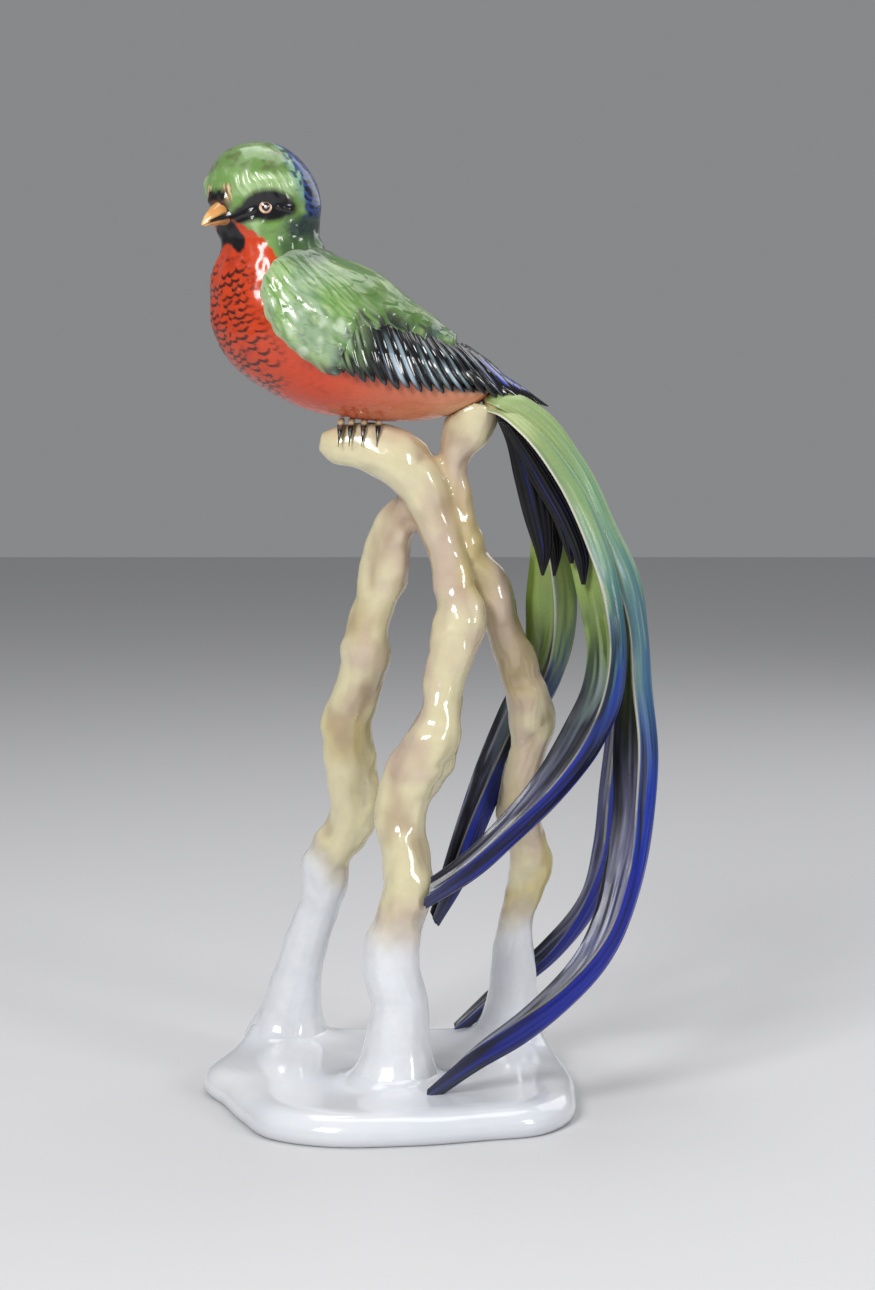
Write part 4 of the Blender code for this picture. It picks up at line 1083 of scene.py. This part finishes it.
def make_under_tail(material):
    """Black-blue pointed feathers under the tail."""
    for number, stations in enumerate(UNDER_TAIL, start=1):
        rows, columns = 150, 64
        path = smooth_path(stations, rows)
        turn = turns(columns)
        half, middle = (path[:, 1] - path[:, 0]) * 0.58, (path[:, 1] + path[:, 0]) / 2
        thin = np.clip(half, 0.4, 1.6)[:, None] / 1.6
        lift = 0.95 + 0.3 * hill(np.cos(turn), 0.2)
        wave = 0.12 * np.sin(np.cos(turn) * 16 + number)
        rings = np.stack([middle[:, None] + half[:, None] * np.cos(turn)[None, :],
                          path[:, 3][:, None] + ((lift + wave) * np.sin(turn))[None, :] * thin,
                          np.broadcast_to(path[:, 2][:, None], (rows, columns))], axis=-1)
        vertices, faces = closed_loft(rings)
        t = np.linspace(0, 1, rows)[:, None]
        c = np.cos(turn)[None, :]
        streak = noise_over(1.0, 70 + number, c * 4.5, t * 2.5)
        tone = blend(BLACK, paint(12, 16, 52), step(streak, 0.1, 0.7) * step(t, 0.1, 0.3))
        bright = step(streak, 0.5, 0.85) * band(t, 0.25, 0.5, 0.8, 0.92)
        tone = blend(tone, paint(24, 32, 104), 0.8 * bright)
        if number in (1, 3):
            edge = step(np.broadcast_to(c, streak.shape), 0.94, 0.99) * falling(t, 0.75, 0.9)
            tone = blend(tone, paint(150, 116, 92), 0.5 * edge)
        piece("under_tail_%d_glazed" % number, vertices, faces, with_hubs(tone), material,
              ["under_tail_%d" % number])


def make_tail_root(material):
    """The small rump plug between the wing tips and the tail."""
    lat = np.radians(np.linspace(-86, 86, 60))
    turn = turns(90)
    rings = np.stack(np.broadcast_arrays(
        (42 + 5.6 * np.sin(lat))[:, None], 10.5 * np.outer(np.cos(lat), np.cos(turn)),
        278.4 + 4.6 * np.outer(np.cos(lat), np.sin(turn)) - 3 * np.sin(lat)[:, None]), axis=-1)
    vertices, faces = closed_loft(rings)
    tone = blend(paint(196, 176, 130), paint(70, 60, 44), step(noise(vertices, 5, 80), 0.1, 0.6))
    piece("tail_root_glazed", vertices, faces, tone, material, ["tail_root"])


# ---------------------------------------------------------------- stage


FOCAL_LENGTH = 78.5
CAMERA_PLACE = (19, -1116, 300)
CAMERA_TILT = 5.96        # degrees downward
# Lamps: (name, place in metres, width, height, watts)
LAMPS = [("key", (-0.6, -1.15, 1.05), 0.5, 0.5, 17), ("fill", (1.0, -0.9, 0.6), 0.25, 0.5, 6),
         ("top", (0.05, 0.2, 1.3), 1.1, 0.9, 8.5), ("rim", (0.8, 0.9, 0.8), 0.8, 0.8, 2.5)]


def make_stage():
    """Pale floor, soft studio lights and the camera at the picture's angle."""
    bpy.ops.mesh.primitive_plane_add(size=6, location=(0, 0, TABLE))
    floor = bpy.context.object
    floor.name = "floor"
    matte = bpy.data.materials.new("floor")
    matte.use_nodes = True
    shader = matte.node_tree.nodes["Principled BSDF"]
    shader.inputs["Base Color"].default_value = (0.62, 0.62, 0.63, 1)
    shader.inputs["Roughness"].default_value = 0.55
    floor.data.materials.append(matte)
    world = bpy.data.worlds.new("studio")
    bpy.context.scene.world = world
    world.use_nodes = True
    sky = world.node_tree.nodes["Background"]
    sky.inputs["Color"].default_value = (0.82, 0.83, 0.85, 1)
    sky.inputs["Strength"].default_value = 0.30
    target = Vector((0, 0, 0.2))
    for name, place, width, tall, power in LAMPS:
        light = bpy.data.lights.new(name, "AREA")
        light.shape = "RECTANGLE"
        light.size, light.size_y, light.energy = width, tall, power
        lamp = bpy.data.objects.new(name, light)
        lamp.location = place
        lamp.rotation_euler = (target - Vector(place)).to_track_quat("-Z", "Y").to_euler()
        bpy.context.scene.collection.objects.link(lamp)
    lens = bpy.data.cameras.new("camera")
    lens.lens = FOCAL_LENGTH
    lens.sensor_width = 36
    lens.clip_end = 20
    camera = bpy.data.objects.new("camera", lens)
    camera.location = Vector(metres(CAMERA_PLACE))
    camera.rotation_euler = (math.radians(90 - CAMERA_TILT), 0, 0)
    bpy.context.scene.collection.objects.link(camera)
    bpy.context.scene.camera = camera
    bpy.context.scene.view_settings.view_transform = "Standard"


def main():
    make_stage()
    feathers = glaze("feather_glaze_painted", rough=0.19, grain=0.16, grain_size=1300.0, coat=0.25)
    make_base(glaze("white_glaze_painted", grain=0.04, grain_size=120.0, wax=0.08, coat=0.5))
    make_branches(glaze("cream_glaze_painted", rough=0.14, grain=0.08, grain_size=260.0,
                        wax=0.06, coat=0.6))
    make_body(feathers)
    make_coverts(feathers)
    make_flight(glaze("flight_glaze_painted", grain=0.2, grain_size=1500.0, coat=0.5))
    make_face(glaze("face_glaze_painted", rough=0.13, grain=0.1, grain_size=1600.0))
    make_claws(glaze("claw_glaze_painted", rough=0.2, grain=0.2, grain_size=2000.0))
    plume = glaze("tail_glaze_painted", rough=0.3, grain=0.16, grain_size=1100.0, coat=0.1, gloss=0.35)
    make_streamer("streamer_long_left", LONG_LEFT, OUTER_LONG, INNER_LONG, plume, 100, 0.3)
    make_streamer("streamer_long_right", LONG_RIGHT, OUTER_LONG, INNER_LONG, plume, 110)
    make_streamer("streamer_short_left", SHORT_LEFT, OUTER_SHORT, INNER_SHORT, plume, 120)
    make_streamer("streamer_short_right", SHORT_RIGHT, FAR_SHORT, INNER_SHORT, plume, 130)
    make_under_tail(plume)
    make_tail_root(feathers)


main()
